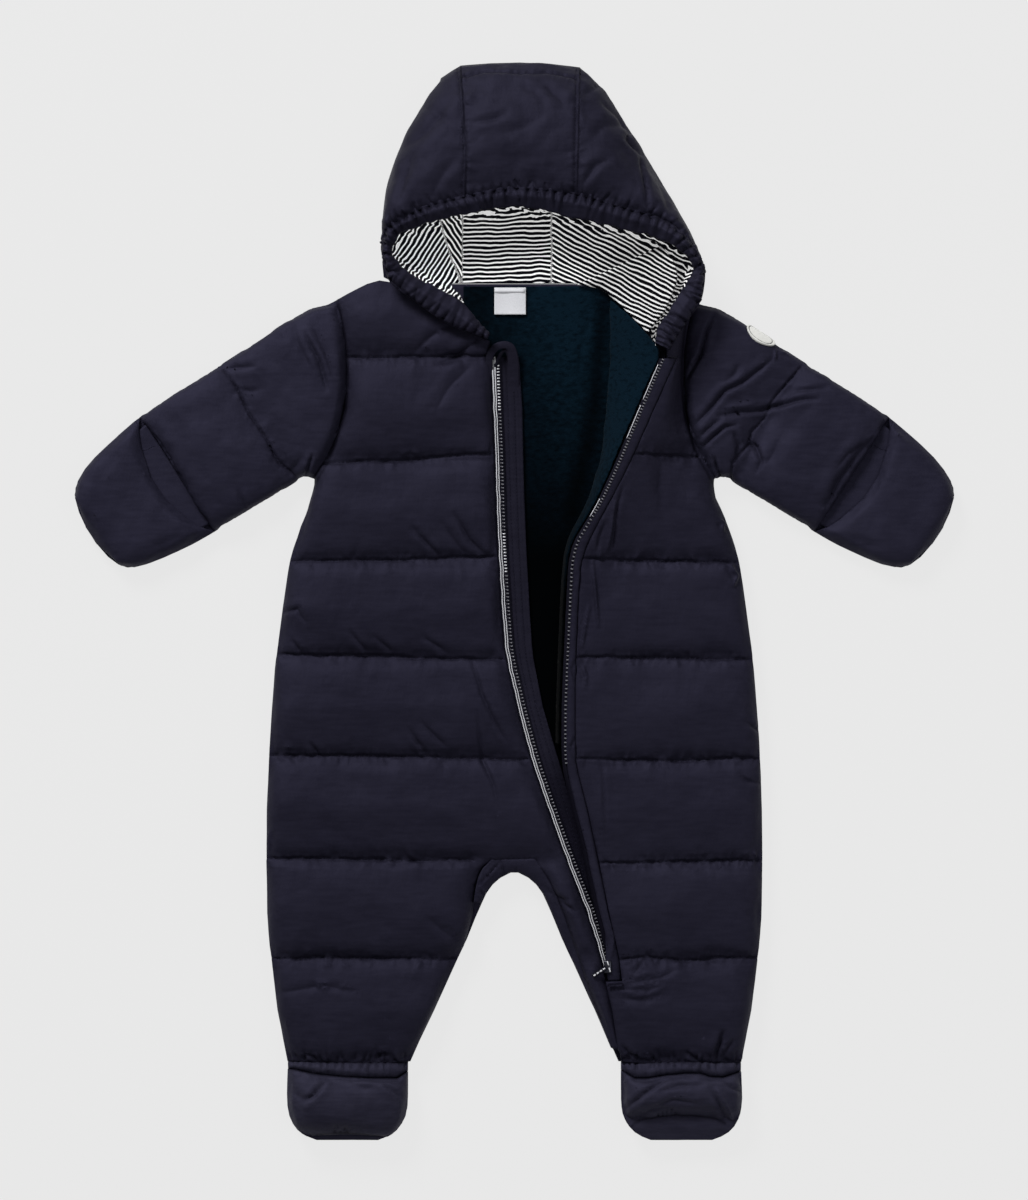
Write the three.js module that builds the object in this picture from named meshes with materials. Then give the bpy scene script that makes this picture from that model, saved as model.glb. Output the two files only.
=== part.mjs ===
// Baby snowsuit laid flat on its back, unzipped, with the hood towards +Y.
// Millimetres, +Z up. The origin is on the surface it lies on, at the middle of its outline.
// The wearer's right is towards -X. Every padded piece is a wall, 0.3 mm from the piece sewn to it.
import * as THREE from 'three';

const { clamp, lerp, degToRad } = THREE.MathUtils;

// Driving sizes
const SEAM_GAP = 0.3;
const SIDE_SEAM_HEIGHT = 10;
const EDGE_WALL = 1.4;
const EDGE_ROUND = 16;
const BACK_TOP = 9;
const LINING_BOTTOM = 9.3;
const LINING_WALL = 1.5;
const TURNED_LINING_WALL = 1.4;
const LINING_FLOOR = 12.6;
const FRONT_BOTTOM = 11.2;
const QUILT_LOW = 15.5;
const QUILT_HIGH = 22.5;
const ZIP_EDGE_TOP = 14.6;
const FACING_WALL = 2.6;
const RIDGE_WALL = 9;
const RIDGE_REACH = 34;
const TAPE_WALL = 1;
const SHOULDER_Y = 201.5;
const NAPE_Y = 212;
const CROTCH_Y = -171.8;
const CROTCH_APEX_Y = -181;
const STRIP_END_Y = -298;
const STRIP_LAST_ROW_Y = -302;
const LEG_END_Y = -307;
const ANKLE_END_Y = -313.5;
const LEFT_TOP_Y = 165;
const ZIP_TOP_LEFT_Y = 161;
const FACING_END_Y = -253;
const LEFT_TOP_TUCK = 6.5;
const LEFT_SHOULDER_FILL = 0.75;
const WIND_FLAP_END_Y = -250;
const TAPE_LEFT_END_Y = -232;

// Colours, roughness
const SHELL = { color: 0x211f2e, roughness: 0.62 };
const SHELL_LIGHT = { color: 0x252433, roughness: 0.66 };
const FLEECE = { color: 0x0b1d26, roughness: 0.95 };
const JERSEY = { color: 0x8d8f97, roughness: 0.85 };
const TAPE = { color: 0x2a2833, roughness: 0.7 };
const METAL = { color: 0x3a3a42, roughness: 0.4, metalness: 0.6 };
const WHITE = { color: 0xe6e7ea, roughness: 0.7 };

// Outline of the body: half width at a height on the surface, from the armholes to the ankles
const BODY_SIDE = [
  { y: 203.5, half: 118.5 }, { y: 180, half: 113 }, { y: 160, half: 111.4 }, { y: 145, half: 111.4 },
  { y: 126, half: 113 }, { y: 107, half: 119.5 }, { y: 92, half: 127 }, { y: 81, half: 132.6 },
  { y: 74.6, half: 131.8 }, { y: 67.5, half: 135 }, { y: 54, half: 141 }, { y: 41, half: 145.6 },
  { y: 27.5, half: 149.6 }, { y: 1, half: 153.8 }, { y: -52, half: 160.2 }, { y: -106, half: 163.8 },
  { y: -160, half: 165.4 }, { y: -212, half: 164.8 }, { y: -239, half: 162 }, { y: -266, half: 159 },
  { y: -292, half: 154.4 }, { y: -307, half: 151.4 }, { y: -314, half: 151.3 },
];

// Inner legs: half width of the space between them
const INNER_LEG = [
  { y: -181, half: 2.5 }, { y: -183, half: 7 }, { y: -186.5, half: 12 }, { y: -190.5, half: 15.8 },
  { y: -196, half: 19.4 }, { y: -202.5, half: 22.2 }, { y: -211, half: 26 }, { y: -225.5, half: 31.8 },
  { y: -239, half: 38.2 }, { y: -266, half: 50.4 }, { y: -292.5, half: 63 }, { y: -307, half: 69.4 },
  { y: -314, half: 71 },
];

// Zip edge of the right front, which crosses to the left leg and ends in a seam to the ankle
const ZIP_EDGE = [
  { y: 172, x: -16.4 }, { y: 140, x: -15.4 }, { y: 102, x: -13.8 }, { y: 50, x: -12.2 }, { y: 7, x: -9.8 },
  { y: -26, x: -7.6 }, { y: -66, x: 0.4 }, { y: -104, x: 10.3 }, { y: -130, x: 19 }, { y: -160, x: 29.6 },
  { y: -185, x: 39 }, { y: -209, x: 48.3 }, { y: -240, x: 57.7 }, { y: -253, x: 61 }, { y: -277, x: 66.6 },
  { y: -299, x: 69.7 }, { y: -309, x: 71 },
];

// Left front: zip teeth and facing seam, how high they stand, and where the turned lining lands
const LAPEL = [
  { y: 161, teeth: 99.2, seam: 107.6, foot: 63.4, ridge: 38 },
  { y: 139, teeth: 89.7, seam: 97.8, foot: 61.6, ridge: 37.5 },
  { y: 117, teeth: 80.4, seam: 88, foot: 60, ridge: 36.5 },
  { y: 101, teeth: 73.7, seam: 80.8, foot: 58.8, ridge: 35.5 },
  { y: 85, teeth: 66.8, seam: 73.4, foot: 55.5, ridge: 34 },
  { y: 69, teeth: 59.4, seam: 65.2, foot: 50.8, ridge: 32 },
  { y: 55, teeth: 51.6, seam: 57.4, foot: 44, ridge: 30 },
  { y: 42.5, teeth: 44, seam: 51, foot: 37.6, ridge: 28 },
  { y: 30, teeth: 39.6, seam: 45.8, foot: 34.2, ridge: 26.5 },
  { y: 13, teeth: 38, seam: 43.4, foot: 32.6, ridge: 25.5 },
  { y: -10, teeth: 37, seam: 42.2, foot: 31.4, ridge: 24.5 },
  { y: -55, teeth: 35, seam: 40.8, foot: 29.6, ridge: 24 },
  { y: -87, teeth: 34, seam: 40.6, foot: 28.6, ridge: 23.5 },
  { y: -105, teeth: 34.6, seam: 41, foot: 29.2, ridge: 23 },
  { y: -130, teeth: 38.4, seam: 47, foot: 33, ridge: 22 },
  { y: -152, teeth: 45.4, seam: 51.6, foot: 40, ridge: 21.5 },
  { y: -179, teeth: 50.6, seam: 57.4, foot: 45, ridge: 21 },
  { y: -214, teeth: 58.4, seam: 64.4, foot: 53, ridge: 20 },
  { y: -238, teeth: 64.6, seam: 69.7, foot: 59, ridge: 19 },
  { y: -253, teeth: 68, seam: 71.8, foot: 62, ridge: 18 },
];

// Right edge of the wind flap behind the right front's zip
const WIND_FLAP = [
  { y: 168, x: 1.4 }, { y: 143, x: 4.8 }, { y: 97, x: 5.8 }, { y: 51, x: 7.2 }, { y: 6, x: 9.5 },
  { y: -32, x: 11.8 }, { y: -56, x: 16.2 }, { y: -79, x: 20.8 }, { y: -98, x: 27 }, { y: -118, x: 33 },
  { y: -130, x: 36.2 }, { y: -152, x: 43 }, { y: -179, x: 48 }, { y: -214, x: 55.6 }, { y: -240, x: 61.5 },
];

// Quilting lines, from the shoulder down: the right front has one more than the left
const QUILTING_RIGHT = [162.8, 94.2, 27.5, -37.2, -103.8, CROTCH_Y, -237.8, LEG_END_Y];
const QUILTING_LEFT = [96, 27.5, -37.2, -105.8, -174, -238.5, LEG_END_Y];
const BAND_STEPS = [0, 0.12, 0.5, 0.88];

// Neck edges of the two fronts, under the hood's casing, by distance from the middle
const NECK_RIGHT = [
  { x: -118.5, y: SHOULDER_Y }, { x: -87, y: 214 }, { x: -72, y: 206 }, { x: -52, y: 191.5 }, { x: -33, y: 181 },
  { x: -16, y: 173 },
];
const NECK_LEFT = [{ x: 100, y: 166 }, { x: 107, y: 178 }, { x: 112, y: 190 }, { x: 118.5, y: SHOULDER_Y }];

// Hood casing stations from the right neck end, over the crown, to the left neck end.
// ox, oy is its stitched outer line, ix, iy its inner edge, z the height of the stitched line.
const CASING = [
  { at: 0, ox: -19, oy: 173.5, ix: -17, iy: 178, z: 27 },
  { at: 1, ox: -45, oy: 184.8, ix: -38, iy: 201, z: 28 },
  { at: 2, ox: -67, oy: 200, ix: -57.7, iy: 211.5, z: 29.5 },
  { at: 3, ox: -84, oy: 214.2, ix: -75, iy: 222.2, z: 31 },
  { at: 4, ox: -88, oy: 232.8, ix: -81.3, iy: 232.2, z: 33 },
  { at: 5, ox: -85, oy: 246.8, ix: -77.7, iy: 242, z: 35 },
  { at: 6, ox: -65.7, oy: 258.8, ix: -60.3, iy: 251, z: 38 },
  { at: 7, ox: -33, oy: 268.2, ix: -34, iy: 258.5, z: 40 },
  { at: 8, ox: 2.3, oy: 273.8, ix: 0, iy: 264, z: 41 },
  { at: 9, ox: 41.7, oy: 269.5, ix: 39.7, iy: 256.5, z: 41 },
  { at: 10, ox: 71, oy: 260.8, ix: 68, iy: 249, z: 41 },
  { at: 11, ox: 99.7, oy: 252.4, ix: 95, iy: 241, z: 42 },
  { at: 12, ox: 117, oy: 237.5, ix: 112, iy: 230.5, z: 43 },
  { at: 13, ox: 126.4, oy: 217.5, ix: 118.4, iy: 220.5, z: 43 },
  { at: 14, ox: 124.6, oy: 202.2, ix: 112.6, iy: 208.8, z: 43.5 },
  { at: 15, ox: 115.7, oy: 186.8, ix: 102.4, iy: 192, z: 44 },
  { at: 16, ox: 107.6, oy: 174.4, ix: 94.6, iy: 180, z: 44.5 },
  { at: 17, ox: 103, oy: 166.2, ix: 93, iy: 171, z: 45 },
];
const CASING_GATHERS = 40;
const CASING_STEPS_PER_GATHER = 3;
const CASING_GATHER_RISE = 0.9;
const CASING_BULGE = 2.4;
const CASING_DEPTH = 4;

// Hood body: where each casing station's rib meets the hood's outline and the nape seam
const HOOD_RIBS = [
  { at: 4, sx: -89.2, sy: 234.5, kx: -87.4, ky: 216.6 },
  { at: 5, sx: -86.4, sy: 272, kx: -79, ky: 213.4 },
  { at: 6, sx: -66.5, sy: 323, kx: -58, ky: 212.6 },
  { at: 7, sx: -36, sy: 357.6, kx: -35, ky: 212.4 },
  { at: 8, sx: 3.7, sy: 359.6, kx: 2, ky: 212.4 },
  { at: 9, sx: 43.7, sy: 356.4, kx: 40, ky: 212.4 },
  { at: 10, sx: 81, sy: 308, kx: 66, ky: 212.6 },
  { at: 11, sx: 107, sy: 264.5, kx: 88, ky: 215.6 },
  { at: 12, sx: 119.6, sy: 241.5, kx: 109, ky: 208 },
  { at: 13, sx: 127.6, sy: 219, kx: 123.5, ky: 202.8 },
];
const HOOD_WALL = 6;
const HOOD_LINING_WALL = 1.3;
const HOOD_LINING_GAP = 0.4;
const HOOD_SEAM_INSET = 0.018;
const HOOD_WIDE_REACH = 26;
const HOOD_SLOPE_STEP = 0.08;
// A rib's course: share of the way from casing to outline, then from outline to nape, and its height
// as a share of the casing's height
const HOOD_COURSE = [
  { out: 0, under: 0, rise: 1 }, { out: 0.12, under: 0, rise: 1.06 }, { out: 0.3, under: 0, rise: 1.05 },
  { out: 0.52, under: 0, rise: 0.96 }, { out: 0.74, under: 0, rise: 0.8 }, { out: 0.9, under: 0, rise: 0.58 },
  { out: 0.985, under: 0, rise: 0.36 }, { out: 1, under: 0, rise: 0.22 }, { out: 1, under: 0.05, rise: 0.07 },
  { out: 1, under: 0.13, rise: 0 }, { out: 1, under: 0.42, rise: 0 }, { out: 1, under: 0.72, rise: 0 },
  { out: 1, under: 1, rise: 0 },
];
// Rows of the lining on the hood's floor, as shares of the way from outline to nape
const HOOD_LINING_ROWS = [0.2, 0.45, 0.72, 1];

// Striped lining between the neck seam and the casing, where the hood's sides reach the neck
const NECK_LINING = [
  { at: 0, nx: 42, ny: 211, nz: 13.5, ix: 97, iy: 236, iz: 31 },
  { at: 1, nx: 56, ny: 208.4, nz: 14.5, ix: 105, iy: 226, iz: 34 },
  { at: 2, nx: 68, ny: 199.5, nz: 17.2, ix: 107.5, iy: 216, iz: 36 },
  { at: 3, nx: 79, ny: 188, nz: 25.2, ix: 104.5, iy: 205, iz: 37.4 },
  { at: 4, nx: 88, ny: 178.4, nz: 33.2, ix: 98.5, iy: 192, iz: 38 },
];

// Sleeve stations on the wearer's right: ends across the arm on the outline, bow towards the body,
// and thickness. The third is the quilting line.
const SLEEVE = [
  { at: 0, ax: -119.4, ay: 201, bx: -135.2, by: 81.5, bow: 13, top: 20 },
  { at: 0.6, ax: -136, ay: 196, bx: -138.4, by: 82.6, bow: 9, top: 22.5 },
  { at: 1.4, ax: -162, ay: 180, bx: -142.8, by: 81.8, bow: 4, top: 21.5 },
  { at: 2, ax: -192, ay: 160.6, bx: -147.5, by: 78.6, bow: 0, top: 15.5 },
  { at: 2.5, ax: -208, ay: 150.6, bx: -163, by: 69, bow: 0, top: 21.5 },
  { at: 3.1, ax: -230, ay: 136.8, bx: -181.5, by: 57.6, bow: 0, top: 21.5 },
  { at: 3.6, ax: -246, ay: 126.2, bx: -195.5, by: 49.4, bow: 0, top: 18.5 },
  { at: 3.8, ax: -250, ay: 123, bx: -200, by: 46.5, bow: 0, top: 15 },
];
const SLEEVE_STEPS = [0, 0.3, 0.6, 1, 1.4, 1.8, 1.94, 2, 2.06, 2.2, 2.6, 3.1, 3.5, 3.7, 3.8];
const SLEEVE_SIDES = 16;
const SLEEVE_WALL = 6.5;
const SLEEVE_SLIT = 1.2;
const ARMHOLE_GAP = 1.5;
const ARMHOLE_BLEND = 0.6;

// Mitten, measured from the sleeve's end: reach beyond it, and both edges along it
const MITTEN = [
  { n: 0, near: 0, far: 91.4 }, { n: 16, near: 2, far: 90.4 }, { n: 24, near: 3.2, far: 89.4 },
  { n: 38, near: 5.8, far: 87.3 }, { n: 48, near: 8.6, far: 85.2 }, { n: 56, near: 12, far: 82.6 },
  { n: 62, near: 16, far: 79.6 }, { n: 66, near: 21.5, far: 74.6 }, { n: 69, near: 31, far: 66.5 },
  { n: 70.6, near: 42, far: 55 },
];
const MITTEN_FLAP_BOW = 15;
const MITTEN_SEAM_HEIGHT = 7;
const MITTEN_TOP = 17.5;
const CUFF_REACH = 20;

// Bootie: inner and outer edge down the foot
const BOOTIE = [
  { y: -313.8, near: 71, far: 151.2 }, { y: -332, near: 71, far: 151.7 }, { y: -341, near: 72, far: 150.6 },
  { y: -347, near: 74.4, far: 148.4 }, { y: -352, near: 78, far: 145 }, { y: -356, near: 83, far: 140 },
  { y: -359.4, near: 91, far: 132 },
];
const BOOTIE_SEAM_HEIGHT = 12;
const BOOTIE_TOP = 26;
const TOE_SEAM = { right: -355.6, left: -344.5 };

const LABEL = { left: -13.4, right: 7.6, top: 209.2, bottom: 191.2, wall: 1 };
const BADGE = {
  along: 1.43, around: 0.452, alongReach: 0.215, aroundReach: 0.048, leanX: -0.66, leanY: 0.99, seat: 0.5, wall: 1.2,
};
const SLIDER = { x: 62, y: -243.5, width: 5, length: 8.5, height: 4.6, bottom: 15.4 };
const PULL = { length: 11, width: 3, wall: 1.2, pin: 0.7, turn: 212 };
const END_TAB = { left: 62, right: 72, top: -253.6, bottom: -256.4, bottomZ: 21.8, wall: 1.2 };

const point = (x, y, z) => new THREE.Vector3(x, y, z);
const suit = new THREE.Group();

// A smooth curve through a table: the value of one column where another has a given value
function curve(rows, from, to) {
  const last = rows.length - 1;
  const sign = Math.sign(rows[last][from] - rows[0][from]);
  const secant = (i) => (rows[i + 1][to] - rows[i][to]) / (rows[i + 1][from] - rows[i][from]);
  const slope = (i) => {
    if (i === 0) return secant(0);
    if (i === last) return secant(last - 1);
    const [before, after] = [secant(i - 1), secant(i)];
    return before * after <= 0 ? 0 : (2 * before * after) / (before + after);
  };
  return (value) => {
    let i = 0;
    while (i < last - 1 && (value - rows[i + 1][from]) * sign > 0) i += 1;
    const span = rows[i + 1][from] - rows[i][from];
    const t = clamp((value - rows[i][from]) / span, 0, 1);
    const [a, b] = [rows[i][to], rows[i + 1][to]];
    const [ma, mb] = [slope(i) * span, slope(i + 1) * span];
    return a + t * ma + t * t * (3 * (b - a) - 2 * ma - mb) + t * t * t * (2 * (a - b) + ma + mb);
  };
}

// The curves of several columns of a table by its stations
const curvesOf = (rows, columns) => Object.fromEntries(columns.map((key) => [key, curve(rows, 'at', key)]));

// A closed solid between two grids of points; keep leaves cells out, wrap joins the last column to the first
function solidBetween(outer, inner, { wrap = false, keep = () => true } = {}) {
  const [rows, columns] = [outer.length, outer[0].length];
  const cells = wrap ? columns : columns - 1;
  const at = (layer, r, c) => (layer * rows + r) * columns + (c % columns);
  const kept = (r, c) => {
    if (r < 0 || r >= rows - 1) return false;
    if (wrap) return keep(r, (c + cells) % cells);
    return c >= 0 && c < cells && keep(r, c);
  };
  const faces = [];
  const quad = (a, b, c, d) => faces.push(a, b, c, a, c, d);
  for (let r = 0; r < rows - 1; r += 1) {
    for (let c = 0; c < cells; c += 1) {
      if (!kept(r, c)) continue;
      quad(at(0, r, c), at(0, r + 1, c), at(0, r + 1, c + 1), at(0, r, c + 1));
      quad(at(1, r, c), at(1, r, c + 1), at(1, r + 1, c + 1), at(1, r + 1, c));
      if (!kept(r - 1, c)) quad(at(0, r, c), at(0, r, c + 1), at(1, r, c + 1), at(1, r, c));
      if (!kept(r + 1, c)) quad(at(0, r + 1, c + 1), at(0, r + 1, c), at(1, r + 1, c), at(1, r + 1, c + 1));
      if (!kept(r, c - 1)) quad(at(0, r + 1, c), at(0, r, c), at(1, r, c), at(1, r + 1, c));
      if (!kept(r, c + 1)) quad(at(0, r, c + 1), at(0, r + 1, c + 1), at(1, r + 1, c + 1), at(1, r, c + 1));
    }
  }
  const points = [...outer.flat(), ...inner.flat()];
  const used = [...new Set(faces)].sort((a, b) => a - b);
  const renumber = new Map(used.map((old, index) => [old, index]));
  const corners = faces.map((index) => points[index]);
  let volume = 0;
  for (let i = 0; i < corners.length; i += 3) {
    volume += corners[i].dot(corners[i + 1].clone().cross(corners[i + 2]));
  }
  const order = volume > 0 ? faces : faces.slice().reverse();
  const geometry = new THREE.BufferGeometry();
  const positions = used.flatMap((index) => points[index].toArray());
  geometry.setAttribute('position', new THREE.Float32BufferAttribute(positions, 3));
  geometry.setIndex(order.map((index) => renumber.get(index)));
  geometry.computeVertexNormals();
  return geometry;
}

function add(name, geometry, look) {
  const mesh = new THREE.Mesh(geometry, new THREE.MeshStandardMaterial(look));
  mesh.name = name;
  suit.add(mesh);
  return mesh;
}

// A grid of points moved along its own surface normals. behind and ahead are the grids just before and
// after it across the columns; without them the neighbouring columns serve.
function offset(grid, distance, behind, ahead) {
  const [lastRow, lastColumn] = [grid.length - 1, grid[0].length - 1];
  return grid.map((row, r) => row.map((p, c) => {
    const down = grid[Math.min(r + 1, lastRow)][c].clone().sub(grid[Math.max(r - 1, 0)][c]);
    const next = ahead ? ahead[r][c] : row[Math.min(c + 1, lastColumn)];
    const previous = behind ? behind[r][c] : row[Math.max(c - 1, 0)];
    const across = next.clone().sub(previous);
    return p.clone().addScaledVector(down.cross(across).normalize(), distance);
  }));
}

// Grids made row by row from a function of a row value and a column value
const gridOf = (rows, columns, make) => rows.map((r) => columns.map((c) => make(r, c)));
const evenly = (first, last, steps) => Array.from({ length: steps + 1 }, (_, i) => lerp(first, last, i / steps));

// 0 at an edge, 1 from EDGE_ROUND inwards, with a round shoulder
const roundIn = (distance, reach = EDGE_ROUND) => {
  const t = clamp(distance / reach, 0, 1);
  return Math.sqrt(1 - (1 - t) * (1 - t));
};

const bodySide = curve(BODY_SIDE, 'y', 'half');
const innerLeg = curve(INNER_LEG, 'y', 'half');
const zipEdge = curve(ZIP_EDGE, 'y', 'x');
const teethLine = curve(LAPEL, 'y', 'teeth');
const facingSeam = curve(LAPEL, 'y', 'seam');
const lapelFoot = curve(LAPEL, 'y', 'foot');
const ridgeHeight = curve(LAPEL, 'y', 'ridge');
const windFlapEdge = curve(WIND_FLAP, 'y', 'x');

// How full the padding is between two quilting lines, 0 on a line and 1 midway
function puff(y, lines) {
  const index = lines.findIndex((line) => y >= line);
  if (index === 0) return Math.sqrt(Math.sin(Math.PI * clamp((y - lines[0]) / 70, 0, 0.5)));
  if (index < 0) return 0;
  const share = (y - lines[index]) / (lines[index - 1] - lines[index]);
  return Math.sin(Math.PI * clamp(share, 0, 1)) ** 0.55;
}

// Row heights of a quilted panel: close together at each quilting line
function quiltRows(lines, extra = []) {
  const rows = lines.slice(1).flatMap((line, i) => BAND_STEPS.map((step) => lerp(lines[i], line, step)));
  return [...new Set([...rows, lines.at(-1), ...extra])].sort((a, b) => b - a);
}

// A panel's rows above its first quilting line stretch up to the neck edge
const neckShares = [1, 0.92, 0.6, 0.25];

// Columns of the body's right half, from the side seam to the inner leg and on across the crotch
const CROTCH_COLUMNS = [
  { y: 210, a: -62, b: -32 }, { y: -60, a: -60, b: -28 }, { y: -110, a: -46, b: -16 }, { y: -150, a: -24, b: 10 },
  { y: CROTCH_Y, a: -15, b: 14 }, { y: -178, a: -21, b: 18 }, { y: -184.5, a: -24.3, b: 22.6 },
  { y: -189, a: -25.4, b: 25 }, { y: -201, a: -27.2, b: 30.3 }, { y: -208, a: -27.6, b: 33 },
  { y: -219, a: -29.4, b: 37 }, { y: -239, a: -38.2, b: 43.8 }, { y: -279, a: -56.4, b: 57.2 },
  { y: -300, a: -66.3, b: 66 }, { y: LEG_END_Y, a: -69.4, b: 68.6 },
];
const legColumn = curve(CROTCH_COLUMNS, 'y', 'a');
const gussetColumn = curve(CROTCH_COLUMNS, 'y', 'b');
const legInside = (y) => (y < -208 ? -innerLeg(y) : legColumn(y));
const CROTCH_ROWS = [-178, -184.5, -189, -195, -201, -208];

// Right front with its leg, and the strip that reaches down inside the left leg
function rightFront() {
  const bodyRows = quiltRows(QUILTING_RIGHT, CROTCH_ROWS);
  const rows = [...neckShares.map((share) => ({ share })), ...bodyRows.map((y) => ({ y }))];
  const neck = curve(NECK_RIGHT, 'x', 'y');
  const columnsAt = (y) => {
    const [side, leg, gusset, zip] = [-bodySide(y), legInside(y), gussetColumn(y), zipEdge(y)];
    const middle = [0.25, 0.5, 0.75].map((share) => lerp(side + 12, leg - 12, share));
    const strip = [0.35, 0.72, 1].map((share) => lerp(gusset, zip, share));
    return [side, side + 4, side + 12, ...middle, leg - 12, leg - 4, leg, lerp(leg, gusset, 0.5), gusset, ...strip];
  };
  const legCell = 8;
  const stripCell = 10;
  const place = ({ y, share }, c) => {
    const level = y ?? lerp(QUILTING_RIGHT[0], SHOULDER_Y, share);
    const x = columnsAt(Math.min(level, SHOULDER_Y))[c];
    const height = y ?? lerp(QUILTING_RIGHT[0], neck(x), share);
    const split = level < CROTCH_Y - 1;
    const fromSide = x + bodySide(level);
    const fromLeg = split && c <= legCell ? legInside(level) - x : EDGE_ROUND;
    const fromZip = c >= stripCell ? zipEdge(level) - x : EDGE_ROUND;
    const fromGusset = split && c >= stripCell ? x - gussetColumn(level) : EDGE_ROUND;
    const soft = roundIn(fromSide) * roundIn(fromLeg);
    const full = lerp(QUILT_LOW, QUILT_HIGH, puff(height, QUILTING_RIGHT) * (share ? 1 - share ** 4 : 1));
    const plain = lerp(SIDE_SEAM_HEIGHT + SEAM_GAP + EDGE_WALL, full, soft);
    const atZip = lerp(ZIP_EDGE_TOP, plain, roundIn(fromZip, 9));
    const top = lerp(Math.min(atZip, 15.8), atZip, roundIn(fromGusset, 5));
    const bottom = lerp(SIDE_SEAM_HEIGHT + SEAM_GAP, FRONT_BOTTOM, soft);
    return [point(x, height, top), point(x, height, bottom)];
  };
  const columns = columnsAt(0).map((_, c) => c);
  const pairs = gridOf(rows, columns, place);
  const levelOf = (r) => rows[r].y ?? SHOULDER_Y;
  const keep = (r, c) => {
    if (levelOf(r) > CROTCH_Y + 1) return true;
    if (c < legCell) return true;
    return c >= stripCell && levelOf(r + 1) >= STRIP_LAST_ROW_Y;
  };
  const grids = [0, 1].map((layer) => pairs.map((row) => row.map((pair) => pair[layer])));
  add('front_right', solidBetween(...grids, { keep }), SHELL);
}

const LEFT_ROWS = [
  LEFT_TOP_Y, ZIP_TOP_LEFT_Y + SEAM_GAP, ZIP_TOP_LEFT_Y, 148, 135, 120, 108, 85, 69, 55, 42, FACING_END_Y,
  FACING_END_Y - SEAM_GAP,
];
const leftFrontRows = quiltRows(QUILTING_LEFT, LEFT_ROWS).filter((y) => y <= LEFT_TOP_Y);

// Left front: rises from the side seam to the ridge that its open zip edge stands on
function leftFront() {
  const shares = [1, 0.9, 0.55];
  const rows = [...shares.map((share) => ({ share })), ...leftFrontRows.map((y) => ({ y }))];
  const neck = curve(NECK_LEFT, 'x', 'y');
  const seamAt = (y) => (y < FACING_END_Y ? zipEdge(y) + SEAM_GAP : facingSeam(Math.min(y, ZIP_TOP_LEFT_Y)));
  const columnsAt = (y) => {
    const [side, seam] = [bodySide(y), seamAt(y) - (y > ZIP_TOP_LEFT_Y ? LEFT_TOP_TUCK : 0)];
    const reach = side - seam;
    const round = Math.min(12, reach * 0.3);
    return [side, side - round / 3, side - round, ...[0.25, 0.5, 0.72, 0.88, 1].map(
      (share) => lerp(side - round, seam, share))];
  };
  const place = ({ y, share }, c) => {
    const level = y ?? lerp(LEFT_TOP_Y, SHOULDER_Y, share);
    const x = columnsAt(level)[c];
    const height = y ?? lerp(LEFT_TOP_Y, neck(x), share);
    const fromSide = bodySide(level) - x;
    const fromSeam = x - seamAt(level);
    const round = roundIn(fromSide, Math.min(EDGE_ROUND, (bodySide(level) - columnsAt(level).at(-1)) * 0.8));
    const fill = level > QUILTING_LEFT[0] ? LEFT_SHOULDER_FILL : puff(height, QUILTING_LEFT);
    const full = lerp(QUILT_LOW, QUILT_HIGH, fill);
    const lean = Math.exp(-((Math.max(fromSeam, 0) / RIDGE_REACH) ** 2) * 2);
    const lift = level < FACING_END_Y ? 0 : lean;
    const raised = lerp(full, Math.max(full, ridgeHeight(Math.min(level, ZIP_TOP_LEFT_Y)) - 1.5), lift);
    const zipLow = level < -130 ? roundIn(fromSeam + 2, 12) : 1;
    const top = lerp(SIDE_SEAM_HEIGHT + SEAM_GAP + EDGE_WALL, raised * lerp(0.86, 1, zipLow), round);
    const seamBottom = lerp(SIDE_SEAM_HEIGHT + SEAM_GAP, FRONT_BOTTOM, round);
    return [point(x, height, top), point(x, height, Math.max(seamBottom, top - RIDGE_WALL * 1.25))];
  };
  const columns = columnsAt(0).map((_, c) => c);
  const pairs = gridOf(rows, columns, place);
  const grids = [0, 1].map((layer) => pairs.map((row) => row.map((pair) => pair[layer])));
  add('front_left', solidBetween(...grids), SHELL);
}

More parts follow.
